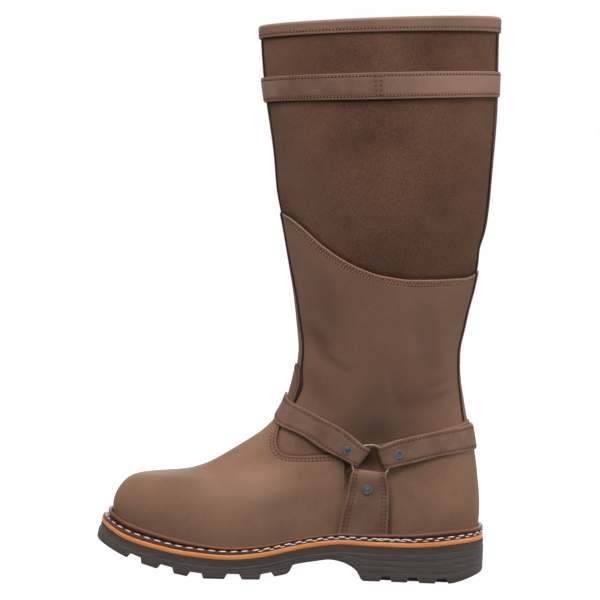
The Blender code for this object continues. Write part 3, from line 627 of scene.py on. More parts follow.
def make_finishes():
    """The materials of the boot."""
    return {
        "waxed": leather("waxed_leather", (140, 106, 85), (160, 123, 99), (174, 139, 117),
                         36, 0.75, 0.09, (0.5, 0.66), Specular_IOR_Level=0.08),
        # A darker copy of the waxed leather for the lower shaft: partly a darker tone of its own, partly
        # painted shade
        "lower": leather("lower_shaft_leather", (132, 97, 79), (144, 109, 90), (166, 130, 109),
                         50, 0.75, 0.09, (0.5, 0.66), Specular_IOR_Level=0.12),
        "suede": leather("shaft_nubuck", (94, 64, 50), (124, 90, 73), (146, 110, 91),
                         54, 0.75, 0.16, (0.85, 0.97), speckle=0.17, Specular_IOR_Level=0.06,
                         Sheen_Weight=0.3, Sheen_Roughness=0.5, Sheen_Tint=(0.6, 0.45, 0.36, 1.0)),
        "strap": leather("strap_leather", (119, 88, 72), (145, 111, 93), (180, 144, 122),
                         15, 0.7, 0.1, (0.48, 0.64), Specular_IOR_Level=0.16),
        "trim": leather("binding_leather", (136, 102, 85), (154, 119, 100), (184, 148, 126),
                        30, 0.7, 0.1, (0.5, 0.66), Specular_IOR_Level=0.16),
        "piping": leather("piping_leather", (44, 28, 23), (56, 38, 31), (88, 66, 54),
                          18, 0.6, 0.05, (0.45, 0.6), Specular_IOR_Level=0.16),
        "lining": leather("lining_leather", (118, 92, 74), (140, 112, 92), (140, 112, 92),
                          26, 0.8, 0.08, (0.7, 0.82), Specular_IOR_Level=0.2),
        "insole": leather("insole_leather", (150, 118, 88), (172, 140, 108), (172, 140, 108),
                          30, 0.8, 0.08, (0.65, 0.8), Specular_IOR_Level=0.2),
        "welt": leather("welt_leather", (96, 56, 42), (112, 68, 51), (156, 112, 90),
                        16, 0.6, 0.05, (0.36, 0.52), Specular_IOR_Level=0.16),
        "midsole": streaked("midsole_edge", (238, 138, 68), (255, 168, 98), 1.6, 0.6, 0.12),
        "rubber": streaked("sole_rubber", (76, 67, 64), (98, 87, 83), 0.9, 0.62, 0.12,
                           Specular_IOR_Level=0.2),
        "tan_thread": thread("tan_thread", (134, 80, 52), (184, 118, 78), 0.6),
        "red_thread": thread("red_thread", (70, 31, 19), (102, 50, 32), 0.7),
        # Dark beads of painted shade for the needle holes
        "needle_hole_shade": thread("needle_hole_shade", (40, 22, 16), (52, 30, 22), 0.9),
        "white_thread": thread("white_thread", (242, 236, 225), (255, 253, 248), 0.65),
        "ring": metal("ring_metal", (88, 82, 74), (136, 128, 116), (0.34, 0.5), 0.02),
        "rivet": metal("rivet_metal", (44, 47, 50), (90, 95, 100), (0.42, 0.56), 0.03),
    }


# Marks on the pieces: how strong each is, its middle and its reach, in the measure that it is taken in
MARKS = {
    "seam_edge_worn": (0.75, 0.0, 0.9),
    # Painted shadow in the gap beside the vamp's edge, and painted shade beside the pipings
    "under_vamp": (0.8, 0.0, 1.5),
    "beside_piping": (0.4, 0.0, 0.045),
    # Painted shade under the lower shaft's step, and painted shadow under the calf strap and the binding
    "over_seam": (0.55, 0.5, 3.0),
    "over_seam_wide": (0.2, 0.0, 16.0),
    "under_calf_strap": (0.6, 0.4, 3.2),
    "under_binding": (0.6, 0.4, 1.6),
    "shaft_front_worn": (0.3, 0.1, 0.14),
    "shaft_back_worn": (0.1, 0.86, 0.12),
    # Painted shade in the panels' stitch troughs and along their edges, where the vamp's edge is also dark
    # cut leather
    "panel_row": (0.25, 0.0, 1.2),
    "vamp_edge": (0.8, 0.0, 0.5),
    "vamp_edge_worn": (0.1, 0.0, 0.8),
    "counter_edge": (0.3, 0.0, 0.5),
    "counter_edge_worn": (0.3, 0.0, 0.8),
    # Painted highlight along the binding's rounded top
    "binding_top_worn": (0.5, 0.95, 0.12),
    "binding_foot_worn": (0.4, 0.0, 0.02),
    # Painted shade in the binding's stitch trough
    "binding_row": (0.3, 0.0, 0.08),
    "strap_edge_worn": (0.36, 0.0, 0.5),
    # Painted shade in the straps' stitch troughs
    "strap_row": (0.3, 0.0, 0.9),
    "calf_strap_front": (0.17, 0.2, 0.12),
    "calf_strap_front_worn": (0.4, 0.035, 0.025),
    "calf_strap_back_worn": (0.6, 0.82, 0.24),
    # Painted highlight round the rivets' rims
    "rivet_rim_worn": (1.0, 0.88, 0.09),
    # Painted highlight on the welt's bead, and painted shade in its groove and on its shelf
    "welt_bead_worn": (0.6, 12.0, 1.2),
    "welt_groove": (0.75, 7.4, 1.8),
    "welt_shelf": (0.3, 4.0, 1.5),
    "under_midsole": (0.85, 0.0, 2.2),
}


def mark(name, place):
    """Strength of a mark at a place."""
    strength, middle, reach = MARKS[name]
    return strength * bell(place - middle, reach)


def zone(points, strength, x, x_reach, z, z_reach):
    """A soft patch of the side view, on both sides of the boot."""
    return strength * bell(points[..., 0] - x, x_reach) * bell(points[..., 2] - z, z_reach)


# Upper

# Soft creases of the lower shaft and the vamp: the side of the boot they are on, where they lie in side
# view, their direction, half length, half width and depth. A negative depth is a ridge.
CREASE_COLUMNS = ("side", "x", "z", "turn", "length", "width", "depth")
CREASES = (
    ("inner", 18, 184, 127, 17, 6.5, 1.1),
    ("inner", 31, 171, 152, 12, 3.0, 0.4),
    ("inner", 28, 176, 146, 12, 3.0, -0.35),
    ("inner", 37, 165, 160, 8, 2.0, 0.3),
    ("inner", 112, 156, 20, 13, 3.4, 0.34),
    ("inner", 116, 148, 24, 11, 3.0, 0.3),
    ("inner", 114, 152, 22, 10, 2.6, -0.18),
    ("inner", 86, 140, 8, 34, 9.0, 0.5),
    ("inner", 14, 150, 130, 26, 9.0, 0.6),
    ("inner", 64, 176, 95, 46, 16.0, -0.6),
    ("inner", 104, 186, 100, 40, 12.0, 0.6),
    ("inner", 22, 214, 112, 34, 11.0, 0.6),
    ("inner", -58, 78, 148, 26, 9.0, 0.4),
    ("inner", -92, 60, 170, 30, 12.0, -0.3),
    ("inner", -80, 71, 20, 10, 8.0, 0.35),
    ("inner", -8, 57, 10, 17, 8.0, 0.35),
    ("inner", -105, 48, 160, 20, 9.0, 0.3),
    ("outer", 22, 190, 150, 16, 4.0, 0.3),
    ("outer", 28, 180, 157, 14, 3.4, 0.24),
    ("outer", 114, 152, 22, 14, 3.4, 0.26),
    ("outer", 70, 176, 95, 46, 16.0, -0.6),
    ("outer", -58, 78, 148, 26, 9.0, 0.4),
)
# How dark the painted shade in the creases' hollows is
CREASE_SHADE = 0.45


def crease_lift(points):
    """Height that the creases add to points of the upper."""
    lift = np.zeros(points.shape[:-1])
    for row in CREASES:
        crease = dict(zip(CREASE_COLUMNS, row))
        facing = points[..., 1] < 0 if crease["side"] == "inner" else points[..., 1] > 0
        turn = math.radians(crease["turn"])
        right, up = points[..., 0] - crease["x"], points[..., 2] - crease["z"]
        along = right * math.cos(turn) + up * math.sin(turn)
        across = up * math.cos(turn) - right * math.sin(turn)
        lift -= facing * crease["depth"] * bell(along, crease["length"]) * bell(across, crease["width"])
    return lift


def crease_shade(points):
    """Painted shade in the hollows of the creases."""
    return CREASE_SHADE * np.clip(-crease_lift(points), 0, 1)


# Cut edges: run of the rounded corner, share of the thickness at the very edge, and the stitches' trough
EDGE_ROUND = 1.1
EDGE_FOOT = 0.45
PANEL_TROUGH = 0.22
SEAM_TROUGH = 0.2
TROUGH_WIDTH = 0.75


def cut_edge(distance, thickness, rows, trough):
    """Height of a panel near its cut edge: a rounded corner, and a trough along each row of stitches."""
    t = np.clip(distance / EDGE_ROUND, 0, 1)
    height = thickness * (EDGE_FOOT + (1 - EDGE_FOOT) * np.sqrt(1 - (1 - t) ** 2))
    for row in rows:
        height = height - trough * bell(distance - row, TROUGH_WIDTH)
    return height


def column_length(points):
    """Length along each column of a grid, from its last row."""
    step = np.linalg.norm(np.diff(points, axis=0), axis=2)
    return np.concatenate([np.cumsum(step[::-1], axis=0)[::-1], np.zeros((1, points.shape[1]))])


# Distances of the rows of stitches from the cut edges
SEAM_ROWS = (2.5, 4.9)
VAMP_ROWS = (2.5, 5.2)
COUNTER_ROWS = (2.4,)
VAMP_ROW_END = 30.0

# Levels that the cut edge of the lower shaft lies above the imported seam, along the seam
SEAM_SHIFT = {
    "s": (0, 0.03, 0.115, 0.227, 0.34, 0.46, 0.58, 0.74, 0.857, 0.97, 1),
    "level": (0.15, 0.13, -0.02, -0.12, -0.16, -0.15, -0.115, -0.07, -0.10, -0.25, -0.29),
}
# Levels below the seam at which this shift starts, and over which it grows
SHIFT_DEPTH = 3.0
SHIFT_GROWTH = 2.4
# Mesh rows of the lower shaft: first and last level, and how many
LOWER_ROWS = ((0.0, 4.0, 14), (4.0, SEAM - 0.6, 108), (SEAM - 0.6, SEAM, 40))


def seam_level(angle):
    """Level of the cut edge of the lower shaft."""
    return SEAM + monotone(SEAM_SHIFT, share_at(angle))


def make_lower_shaft(finish):
    """Waxed leather from the sole to the curved seam, where its cut edge laps over the upper shaft."""
    levels = [np.linspace(low, high, count, endpoint=high == SEAM) for low, high, count in LOWER_ROWS]
    levels, angles = np.meshgrid(np.concatenate(levels), around(ROUND), indexing="ij")
    shift = (seam_level(angles) - SEAM) * ease((levels - SEAM + SHIFT_DEPTH) / SHIFT_GROWTH)
    grid = (levels + shift, angles)
    points = form(*grid)
    from_edge = column_length(points)
    lift = cut_edge(from_edge, SKIN, SEAM_ROWS, SEAM_TROUGH) - SKIN + crease_lift(points)
    vamp = even(vamp_curve(), 600)
    from_vamp = distance_to(points, np.concatenate([form(*vamp.T), form(*mirrored(vamp).T)]))
    # Painted shade beside the pipings, in the creases, by the harness and in the gap beside the vamp's edge
    shade = np.max([piping_shadow(*grid), crease_shade(points), harness_shadow(points),
                    mark("under_vamp", from_vamp)], axis=0)
    piece = sandwich("lower_shaft", surface(*grid, lift), surface(*grid, -SKIN), finish, True,
                     worn=mark("seam_edge_worn", from_edge), shade=shade)
    return dress(piece, ["upper"])


# Dark zones by the harness in side view: strength, the middle and reach along x and along z, and where each
# starts along x and along z
HARNESS_ZONES = {
    "inside_ring": (0.95, RING_CENTRE[0], 12.0, RING_CENTRE[1] + 3.0, 12.0, -math.inf, -math.inf),
    "above_ring": (0.6, RING_CENTRE[0], 32.0, RING_CENTRE[1] + 23.0, 16.0, -math.inf, -math.inf),
    "vamp_gap": (0.9, 43.0, 6.0, 82.0, 12.0, 40.0, -math.inf),
    "under_instep_strap": (0.28, 12.0, 24.0, 107.0, 11.0, -math.inf, 94.0),
}
# Shadow behind the side strap: its line leans forward above a height, and it fades below its top
STRAP_SHADOW = {
    "dark": 0.75, "x": 77.0, "lean": 0.14, "lean_z": 67.0, "reach": 2.2, "top_z": 90.0, "fade": 40.0,
}


def harness_shadow(points):
    """Darkness of the leather inside the harness ring, above it, and beside and under the straps."""
    x, z = points[..., 0], points[..., 2]
    shades = []
    for *place, from_x, from_z in HARNESS_ZONES.values():
        shades.append(zone(points, *place) * (x > from_x) * (z > from_z))
    line = STRAP_SHADOW["x"] - STRAP_SHADOW["lean"] * np.maximum(z - STRAP_SHADOW["lean_z"], 0)
    fade = ease((STRAP_SHADOW["top_z"] - z) / STRAP_SHADOW["fade"])
    shades.append(STRAP_SHADOW["dark"] * bell(x - line, STRAP_SHADOW["reach"]) * fade)
    return np.max(shades, axis=0)


# Angle of the piped seams at a few levels, and the piping's lower ends and top
PIPING_ANGLES = {
    "front": {
        "level": (8.9, 9.15, 9.75, 10.25, 10.7, 11.5, 12.1, 13, 15, 18, 20),
        "angle": (0.41, 0.44, 0.488, 0.40, 0.35, 0.345, 0.315, 0.27, 0.18, 0.2, 0.17),
    },
    "back": {"level": (6, 15, 20), "angle": (math.pi - 0.29, math.pi - 0.27, math.pi - 0.25)},
}
PIPING_FOOT = {"front": 8.9, "back": 6.6}
PIPING_TOP = TOP - 0.34
PIPING_RADIUS = 0.95
PIPING_LIFT = 0.35
PIPING_FLATNESS = 0.8


def piping_angle(place, levels):
    return monotone(PIPING_ANGLES[place], levels)


def piping_shadow(levels, angles):
    """Darkness close to the two piped seams."""
    beside = [angles - piping_angle(place, levels) for place in PIPING_ANGLES]
    return np.max([mark("beside_piping", turn) for turn in beside], axis=0)


# Millimetres for one level, by the seam and by the collar
LEVEL_BY_SEAM = 27.0
LEVEL_BY_COLLAR = 33.0
# How far the shadows under the calf strap and the binding go on behind them
SHADOW_BEHIND = 3.0


def make_upper_shaft(finish):
    """Nubuck from under the seam to the collar, a step behind the lower shaft."""
    levels, angles = np.meshgrid(np.linspace(SEAM - TUCK, TOP, 150), around(ROUND), indexing="ij")
    above_seam = (levels - seam_level(angles)) * LEVEL_BY_SEAM
    # Painted shade under the lower shaft's step and beside the pipings, painted shadow under the calf strap
    # and the binding
    over_seam = mark("over_seam", above_seam) + mark("over_seam_wide", above_seam)
    shades = [over_seam, piping_shadow(levels, angles)]
    for name, edge in (("under_calf_strap", calf_strap_level(angles, 0.0)), ("under_binding", BINDING_LOW)):
        below = (edge - levels) * LEVEL_BY_COLLAR
        shades.append(np.where(below > -SHADOW_BEHIND, mark(name, below), 0))
    shade = np.max(shades, axis=0)
    s = share_at(angles)
    rubbed = mark("shaft_front_worn", s) + mark("shaft_back_worn", s)
    lift = shaft_sway(form(levels, angles)) - SEAM_STEP
    outer, inner = surface(levels, angles, lift), surface(levels, angles, lift - SKIN)
    piece = sandwich("upper_shaft", outer, inner, finish, True, worn=rubbed * (1 - shade), shade=shade)
    return dress(piece)


# Hollow at the back of the shaft above the seam: depth, and its middle and reach along x and along z
SHAFT_DENT = (1.9, 150.0, 16.0, 264.0, 10.0)
LINING_GAP = 0.7


def shaft_sway(points):
    """Slow waves of the soft upper shaft, in millimetres."""
    x, y, z = (points[..., i] for i in range(3))
    return 0.35 * np.sin(z / 17 + x / 31) + 0.25 * np.sin(z / 41 - x / 19 + y / 23) - shaft_dent(points)


def shaft_dent(points):
    return zone(points, *SHAFT_DENT)


def make_lining(finish):
    """Thin leather inside the upper, from the sole to the collar."""
    grid = np.meshgrid(np.linspace(0, TOP - 0.02, 90), around(ROUND // 2), indexing="ij")
    deep = -SEAM_STEP - SKIN - LINING_GAP - shaft_dent(form(*grid))
    piece = sandwich("shaft_lining", surface(*grid, deep), surface(*grid, deep - LINING), finish, True)
    return dress(piece)


# Edge of the vamp in side view, from the tip of its tongue to the back of its foot
VAMP_EDGE = {
    "x": (-3.0, 2.6, 2.4, -2.5, -9.0, -13.5, -12.8, -6.0, 6.0, 20.0, 34.0, 39.6, 41.2, 43.0),
    "z": (167.0, 160.0, 149.0, 136.0, 122.0, 110.0, 101.3, 96.4, 96.2, 97.4, 98.6, 91.0, 71.0, 34.0),
}
VAMP_CORNER = 0.84
# Top edge of the counter in side view, from its front end to the back of the heel
COUNTER_EDGE = {
    "x": (58.0, 69.7, 90.8, 114.2, 133.0, 160.0),
    "z": (105.2, 108.2, 113.7, 120.2, 125.6, 127.6),
}
# Mesh of the panels: rows, columns, and how much the rows crowd to the top edge
PANEL_MESH = {"vamp": (118, 112, 1.5), "counter": (76, 200, 1.4)}
# Painted highlight on the vamp's side, painted shade and a dark blotch atop its forefoot, in side view:
# strength, and the middle and reach along x and along z
VAMP_HIGHLIGHT = (0.8, -38.0, 34.0, 68.0, 15.0)
VAMP_TOP_SHADE_AND_BLOTCH = (0.2, -88.0, 30.0, 76.0, 9.0)
# Painted shade on the vamp's tongue: how dark it is, where it starts in height and over which height, and
# its back end
TONGUE_DARK = 0.36
TONGUE_FOOT = 112.0
TONGUE_FADE = 24.0
TONGUE_BACK = 15.0


def panel(node, levels, angles, edges, rows, finish):
    """A leather panel laid on the form, with cut edges and stitch troughs along its edges."""
    points = surface(levels, angles, PANEL_SEAT)
    from_edge = distance_to(points, np.concatenate([form(*edge.T) for edge in edges]))
    lift = PANEL_SEAT + cut_edge(from_edge, PANEL, rows, PANEL_TROUGH) + crease_lift(points)
    # Painted shade in stitch troughs, along the edges, in creases, by the harness, on the tongue and atop
    # the forefoot; painted highlight on the vamp
    on_tongue = ease((points[..., 2] - TONGUE_FOOT) / TONGUE_FADE) * (points[..., 0] < TONGUE_BACK)
    shade = np.max([mark("panel_row", from_edge - rows[0]), mark(f"{node}_edge", from_edge),
                    crease_shade(points), harness_shadow(points), TONGUE_DARK * on_tongue,
                    zone(points, *VAMP_TOP_SHADE_AND_BLOTCH)], axis=0)
    worn = np.maximum(mark(f"{node}_edge_worn", from_edge), zone(points, *VAMP_HIGHLIGHT))
    piece = sandwich(f"{node}_panel", surface(levels, angles, lift), points, finish, worn=worn, shade=shade)
    return dress(piece, [node])


def vamp_curve():
    return edge_curve(VAMP_EDGE, first_angle=0.0)


def counter_curve():
    return edge_curve(COUNTER_EDGE, last_angle=math.pi)


def crowded(count, power):
    """Shares from 0 to 1 that lie closer together near 1."""
    return 1 - (1 - np.linspace(0, 1, count)) ** power


def make_vamp(finish):
    """Forefoot cover with a tongue up the front and a rounded tab on each side."""
    rows, columns, power = PANEL_MESH["vamp"]
    edge = even(vamp_curve(), 1200)
    corner = int(VAMP_CORNER * len(edge))
    top, back = even(edge[:corner], columns), edge[corner:][::-1]
    rise = crowded(rows, power)
    back_angle = np.interp(rise * top[-1, 0], back[:, 0], back[:, 1])
    levels = rise[:, None] * top[:, 0]
    angles = top[:, 1] * (back_angle / back_angle[-1])[:, None]
    levels = np.concatenate([levels[:, :0:-1], levels], axis=1)
    angles = np.concatenate([-angles[:, :0:-1], angles], axis=1)
    return panel("vamp", levels, angles, [edge, mirrored(edge)], VAMP_ROWS, finish)


def make_counter(finish):
    """Heel cover."""
    rows, columns, power = PANEL_MESH["counter"]
    edge = even(counter_curve(), 500)
    first = edge[0, 1]
    angles = np.linspace(first, 2 * math.pi - first, columns)
    top = np.interp(np.minimum(angles, 2 * math.pi - angles), edge[:, 1], edge[:, 0])
    levels = crowded(rows, power)[:, None] * top
    front = np.stack([np.linspace(0, top[0], 200), np.full(200, first)], axis=1)
    edges = [edge, mirrored(edge), front, mirrored(front)]
    return panel("counter", levels, np.broadcast_to(angles, levels.shape), edges, COUNTER_ROWS, finish)


# Collar binding: heights are shares of its outer face, from its lower edge to its top
BINDING_LOW = TOP - 0.275
BINDING_TALL = 0.335
BINDING_ROW = 0.25
BINDING_FOLD = 0.8
BINDING_SEAT = -SEAM_STEP + 0.1
BINDING_BACK = -SEAM_STEP - SKIN - LINING - 0.9


def binding_profile():
    """Loop of the strip folded over the collar, as shares of its height and lifts."""
    face, inside = BINDING_SEAT + BINDING, BINDING_BACK - BINDING
    middle, radius = (face + inside) / 2, (face - inside) / 2
    up = np.linspace(0.02, BINDING_FOLD, 24)
    puff = face + 0.1 - 0.22 * bell(up - BINDING_ROW, 0.07) - 0.4 * bell(up, 0.03)
    loop = [(0.0, BINDING_SEAT), (0.0, BINDING_SEAT + 0.55 * BINDING), *zip(up, puff)]
    for turn in np.radians(np.arange(12, 180, 12)):
        loop.append((BINDING_FOLD + (1 - BINDING_FOLD) * math.sin(turn), middle + radius * math.cos(turn)))
    loop += [(share, inside) for share in (BINDING_FOLD, 0.6, 0.4, 0.2)]
    loop += [(0.16, inside + 0.5 * BINDING), (0.16, BINDING_BACK), (0.7, BINDING_BACK), (0.7, BINDING_SEAT)]
    return np.array(loop)


def make_binding(finish):
    """Strip folded over the collar."""
    share, lifts = binding_profile().T
    rings = surface(BINDING_LOW + BINDING_TALL * share, around(ROUND)[:, None], lifts)
    # Painted highlight along the rounded top, a lighter lower edge, and painted shade in the stitch trough
    worn = mark("binding_top_worn", share) + mark("binding_foot_worn", share)
    shade = mark("binding_row", share - BINDING_ROW)
    piece = loft("collar_fold", rings, finish, True, worn=worn, shade=shade)
    return dress(piece, ["collar_binding"])


def shaft_lift(level, angle):
    """Height of the shaft's outside: the part above the seam is set back."""
    return -SEAM_STEP * ease((level - seam_level(angle)) / 0.04)


def make_piping(place, finish):
    """Dark cord along a seam of the shaft."""
    levels = np.linspace(PIPING_FOOT[place], PIPING_TOP, 260)
    turns = around(12)
    middle = piping_angle(place, levels)
    turn_width = PIPING_RADIUS / np.linalg.norm(slopes(levels, middle)[1], axis=1)
    angles = middle[:, None] + turn_width[:, None] * np.cos(turns)
    dent = shaft_dent(form(levels, middle)) * ease((levels - seam_level(middle)) / 0.2)
    base = shaft_lift(levels, middle) - dent
    lifts = base[:, None] + PIPING_LIFT + PIPING_FLATNESS * PIPING_RADIUS * np.sin(turns)
    rings = surface(levels[:, None], angles, lifts)
    return dress(loft(f"{place}_piping", rings, finish, False), [f"piping_{place}"])


# Straps

STRAP_ROUND = 0.55
# Height over a strap's middle from which a place is on its top
STRAP_FACE = 0.3
STITCH_INSET = 2.5
# Top of a strap's section: how high it swells and over which width, and the trough under its stitches
CROWN = 0.3
CROWN_WIDTH = 5.0
CROWN_TROUGH = 0.24
CROWN_TROUGH_WIDTH = 0.8
# Calf strap: levels of its edges at the front and the back, and where its join's stitches are
CALF_STRAP_LOW = (18.22, 18.41)
CALF_STRAP_HIGH = (18.78, 18.91)
CALF_STRAP_WIDTH = 20.0
CALF_STRAP = 1.3
CALF_STRAP_SEAT = 0.15
CALF_JOIN = (52.4, 56.2)
CALF_JOIN_HEIGHT = 390.0


def calf_strap_lift(angle):
    """Height of the calf strap's middle layer: it stands off at the front and over the back piping."""
    from_front = np.abs((angle + math.pi) % (2 * math.pi) - math.pi)
    front = 0.5 * bell(from_front, 0.5)
    back = 0.5 * bell(angle - PIPING_ANGLES["back"]["angle"][-1], 0.3)
    return -SEAM_STEP + CALF_STRAP_SEAT + CALF_STRAP / 2 + front + back


def calf_strap_level(angle, share):
    """Level on the calf strap at a share of its width from its lower edge."""
    s = share_at(angle)
    low, high = (front + s * (back - front) for front, back in (CALF_STRAP_LOW, CALF_STRAP_HIGH))
    return low + share * (high - low)


def strap_crown(from_edge):
    """Height that the swollen top of a strap adds at a distance from its edge."""
    trough = CROWN_TROUGH * bell(from_edge - STITCH_INSET, CROWN_TROUGH_WIDTH)
    return CROWN * ease(from_edge / CROWN_WIDTH) - trough


def strap_section(width, thickness=STRAP):
    """Places across a strap as shares of its width, with their heights, wear and painted shade."""
    across, height = rounded_box(width, thickness, STRAP_ROUND, 22).T
    from_edge = width / 2 - np.abs(across)
    height = height + np.where(height > STRAP_FACE, strap_crown(from_edge), 0)
    worn = mark("strap_edge_worn", from_edge)
    # Painted shade in the troughs of the stitches
    shade = np.where(height > STRAP_FACE, mark("strap_row", from_edge - STITCH_INSET), 0)
    return 0.5 + across / width, height, worn, shade


def make_calf_strap(finish):
    """Strap round the shaft."""
    share, height, worn, shade = strap_section(CALF_STRAP_WIDTH, CALF_STRAP)
    angles = around(ROUND)[:, None]
    rings = surface(calf_strap_level(angles, share), angles, calf_strap_lift(angles) + height)
    s = share_at(angles)
    rubbed = mark("calf_strap_back_worn", s) + mark("calf_strap_front_worn", s)
    piece = loft("calf_strap", rings, finish, True, worn=np.maximum(worn, rubbed),
                 shade=shade + mark("calf_strap_front", s))
    return dress(piece, ["strap_calf"])


# Heights of a harness strap's middle: under the ring, over it, where its layers are pressed together,
# and far from the ring, with the run over which it comes down
LOW_LAYER = 2.6
HIGH_LAYER = RING_HEIGHT + RING_WIRE / 2 + 0.1 + STRAP / 2
PRESSED_LAYER = LOW_LAYER + STRAP + 0.05
FAR_LAYER = 2.8
FAR_SLOPE = 22.0
STRAP_STEP = 1.2

# Harness straps: width, runs from the fold to the end of the ring's pocket, to where the layers are
# pressed together, to the rivet and to the tail's end, share of the width at the rivet, and the edges in
# side view from the fold at the ring to the far end
STRAPS = {
    "instep": {
        "width": 18.4, "pocket": 6.0, "pressed": 15.0, "rivet": 15.0, "tail": 19.5, "rivet_across": 0.5,
        "share": (0, 0.22, 0.45, 0.70, 1),
        "top_x": (60.6, 42.4, 27.5, 9.0, -30), "top_z": (103.2, 115.8, 123.9, 132.4, 143.0),
        "low_x": (50.4, 33.0, 17.5, -1.0, -30), "low_z": (88.6, 97.2, 104.7, 114.0, 125.4),
    },
    "heel": {
        "width": 19.0, "pocket": 6.0, "pressed": 15.0, "rivet": 15.4, "tail": 19.5, "rivet_across": 0.45,
        "share": (0, 0.28, 0.62, 1),
        "top_x": (65.4, 82.7, 113.9, 160), "top_z": (105.4, 112.5, 120.0, 124.0),
        "low_x": (71.4, 87.5, 118.6, 160), "low_z": (87.8, 92.1, 100.4, 104.6),
    },
    "side": {
        "width": 30.0, "pocket": 6.5, "pressed": 17.0, "rivet": 15.2, "tail": 23.0, "rivet_across": 0.46,
        "share": (0, 0.4, 0.7, 1),
        "top_x": (72.8, 75.4, 75.9, 75.6), "top_z": (85.6, 67.0, 53.0, 37.8),
        "low_x": (47.8, 43.2, 39.8, 36.9), "low_z": (87.6, 68.0, 53.0, 36.8),
    },
}


def strap_place(name, share, across):
    """Level and angle on a strap, at a share of its length and of its width."""
    table = STRAPS[name]
    edges = []
    for edge in ("low", "top"):
        places = locate(table[edge + "_x"], table[edge + "_z"])
        edges.append([monotone({"share": table["share"], "place": place}, share) for place in places])
    return [low + across * (top - low) for low, top in zip(*edges)]


def strap_lengths(name):
    """Shares of a strap's length, and their runs from its fold along its middle line."""
    share = np.linspace(0, 1, 121)
    return share, lengths(surface(*strap_place(name, share, 0.5), LOW_LAYER))


def strap_path(name):
    """Runs and heights of a strap: its tail, the fold round the ring, and its way to the far end."""
    strap = STRAPS[name]
    tail = strap["tail"]
    bend = (HIGH_LAYER - LOW_LAYER) / 2
    centre = bend + STRAP / 2
    far_end = strap_lengths(name)[1][-1]
    path = [(run, LOW_LAYER) for run in np.arange(tail, centre, -STRAP_STEP)]
    for turn in np.radians(np.arange(-90, 91, 12)):
        path.append((centre - bend * math.cos(turn), LOW_LAYER + bend + bend * math.sin(turn)))
    corners = ((centre, HIGH_LAYER), (strap["pocket"], HIGH_LAYER), (strap["pressed"], PRESSED_LAYER),
               (tail + 0.8, PRESSED_LAYER), (tail + FAR_SLOPE, FAR_LAYER), (far_end, FAR_LAYER))
    for start, end in zip(np.array(corners), np.array(corners[1:])):
        steps = max(2, round((end[0] - start[0]) / STRAP_STEP))
        path += [start + part / steps * (end - start) for part in range(1, steps + 1)]
    path = np.array(path)
    for _ in range(10):
        path[1:-1] = (path[:-2] + 2 * path[1:-1] + path[2:]) / 4
    return path


def strap_rings(name, side):
    """Sections of one half of a strap, from its tail to its far end."""
    path = strap_path(name)
    tangent = unit(np.gradient(path, axis=0))
    normal = np.stack([-tangent[:, 1], tangent[:, 0]], axis=1)
    across, height = strap_section(STRAPS[name]["width"])[:2]
    place = path[:, None, :] + height[None, :, None] * normal[:, None, :]
    share, run = strap_lengths(name)
    level, angle = strap_place(name, np.interp(place[..., 0], run, share), across)
    return surface(level, side * angle, place[..., 1])


def make_strap(name, finish, nodes, sides, label):
    """A harness strap. With both sides it runs from one ring round the boot to the other."""
    first, *others = (strap_rings(name, side) for side in sides)
    rings = np.concatenate([first] + [other[-2::-1] for other in others])
    worn, shade = strap_section(STRAPS[name]["width"])[2:]
    return dress(loft(label, rings, finish, False, worn=worn, shade=shade), nodes)


def ring_frame(side):
    """Centre and axes of a harness ring, in the plane that fits the form."""
    turns = around(36)
    rim_x = RING_CENTRE[0] + RING_RADIUS * np.cos(turns)
    rim_z = RING_CENTRE[1] + RING_RADIUS * np.sin(turns)
    level, angle = locate(rim_x, rim_z)
    rim = surface(level, side * angle, RING_HEIGHT)
    centre = rim.mean(axis=0)
    return centre, np.linalg.svd(rim - centre)[2]


def make_ring(place, side, finish):
    """Metal ring that the harness straps are folded round."""
    centre, axes = ring_frame(side)
    turns, wire = around(72)[:, None, None], around(16)[None, :, None]
    spoke = axes[0] * np.cos(turns) + axes[1] * np.sin(turns)
    reach = RING_RADIUS + RING_WIRE / 2 * np.cos(wire)
    rings = centre + spoke * reach + axes[2] * RING_WIRE / 2 * np.sin(wire)
    return dress(loft(f"harness_ring_{place}", rings, finish, True), [f"ring_{place}"])


# Rivet head: radius and height of its profile as shares, from rim to middle, and its lift over the strap
RIVET_PROFILE = (
    (0.9, -0.3), (1.0, 0.0), (1.0, 0.35), (0.95, 0.6), (0.86, 0.72), (0.78, 0.66), (0.72, 0.62),
    (0.5, 0.72), (0.25, 0.8), (0.02, 0.83),
)
RIVET_SEAT = 0.35


def make_rivet(name, place, side, finish):
    """Rivet head with a raised rim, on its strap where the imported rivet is."""
    strap = STRAPS[name]
    share, runs = strap_lengths(name)
    path = strap_path(name)
    over = path[np.argmin(path[:, 0]):]
    level, angle = strap_place(name, np.interp(strap["rivet"], runs, share), strap["rivet_across"])
    base, normal = skin(level, side * angle)
    base = base + normal * (np.interp(strap["rivet"], *over.T) + STRAP / 2 + RIVET_SEAT)
    beside = unit(np.cross(normal, (0.0, 0.0, 1.0)))
    upward = np.cross(beside, normal)
    turns = around(32)[None, :, None]
    radius, height = (np.array(column)[:, None, None] for column in zip(*RIVET_PROFILE))
    spoke = beside * np.cos(turns) + upward * np.sin(turns)
    rings = base + normal * height * RIVET_HEIGHT + radius * RIVET_RADIUS * spoke
    # Painted highlight round the rim
    worn = mark("rivet_rim_worn", radius[..., 0])
    piece = loft(f"rivet_head_{name}_{place}", rings, finish, False, worn=worn)
    return dress(piece, [f"rivet_{name}_{place}"])


# Sole

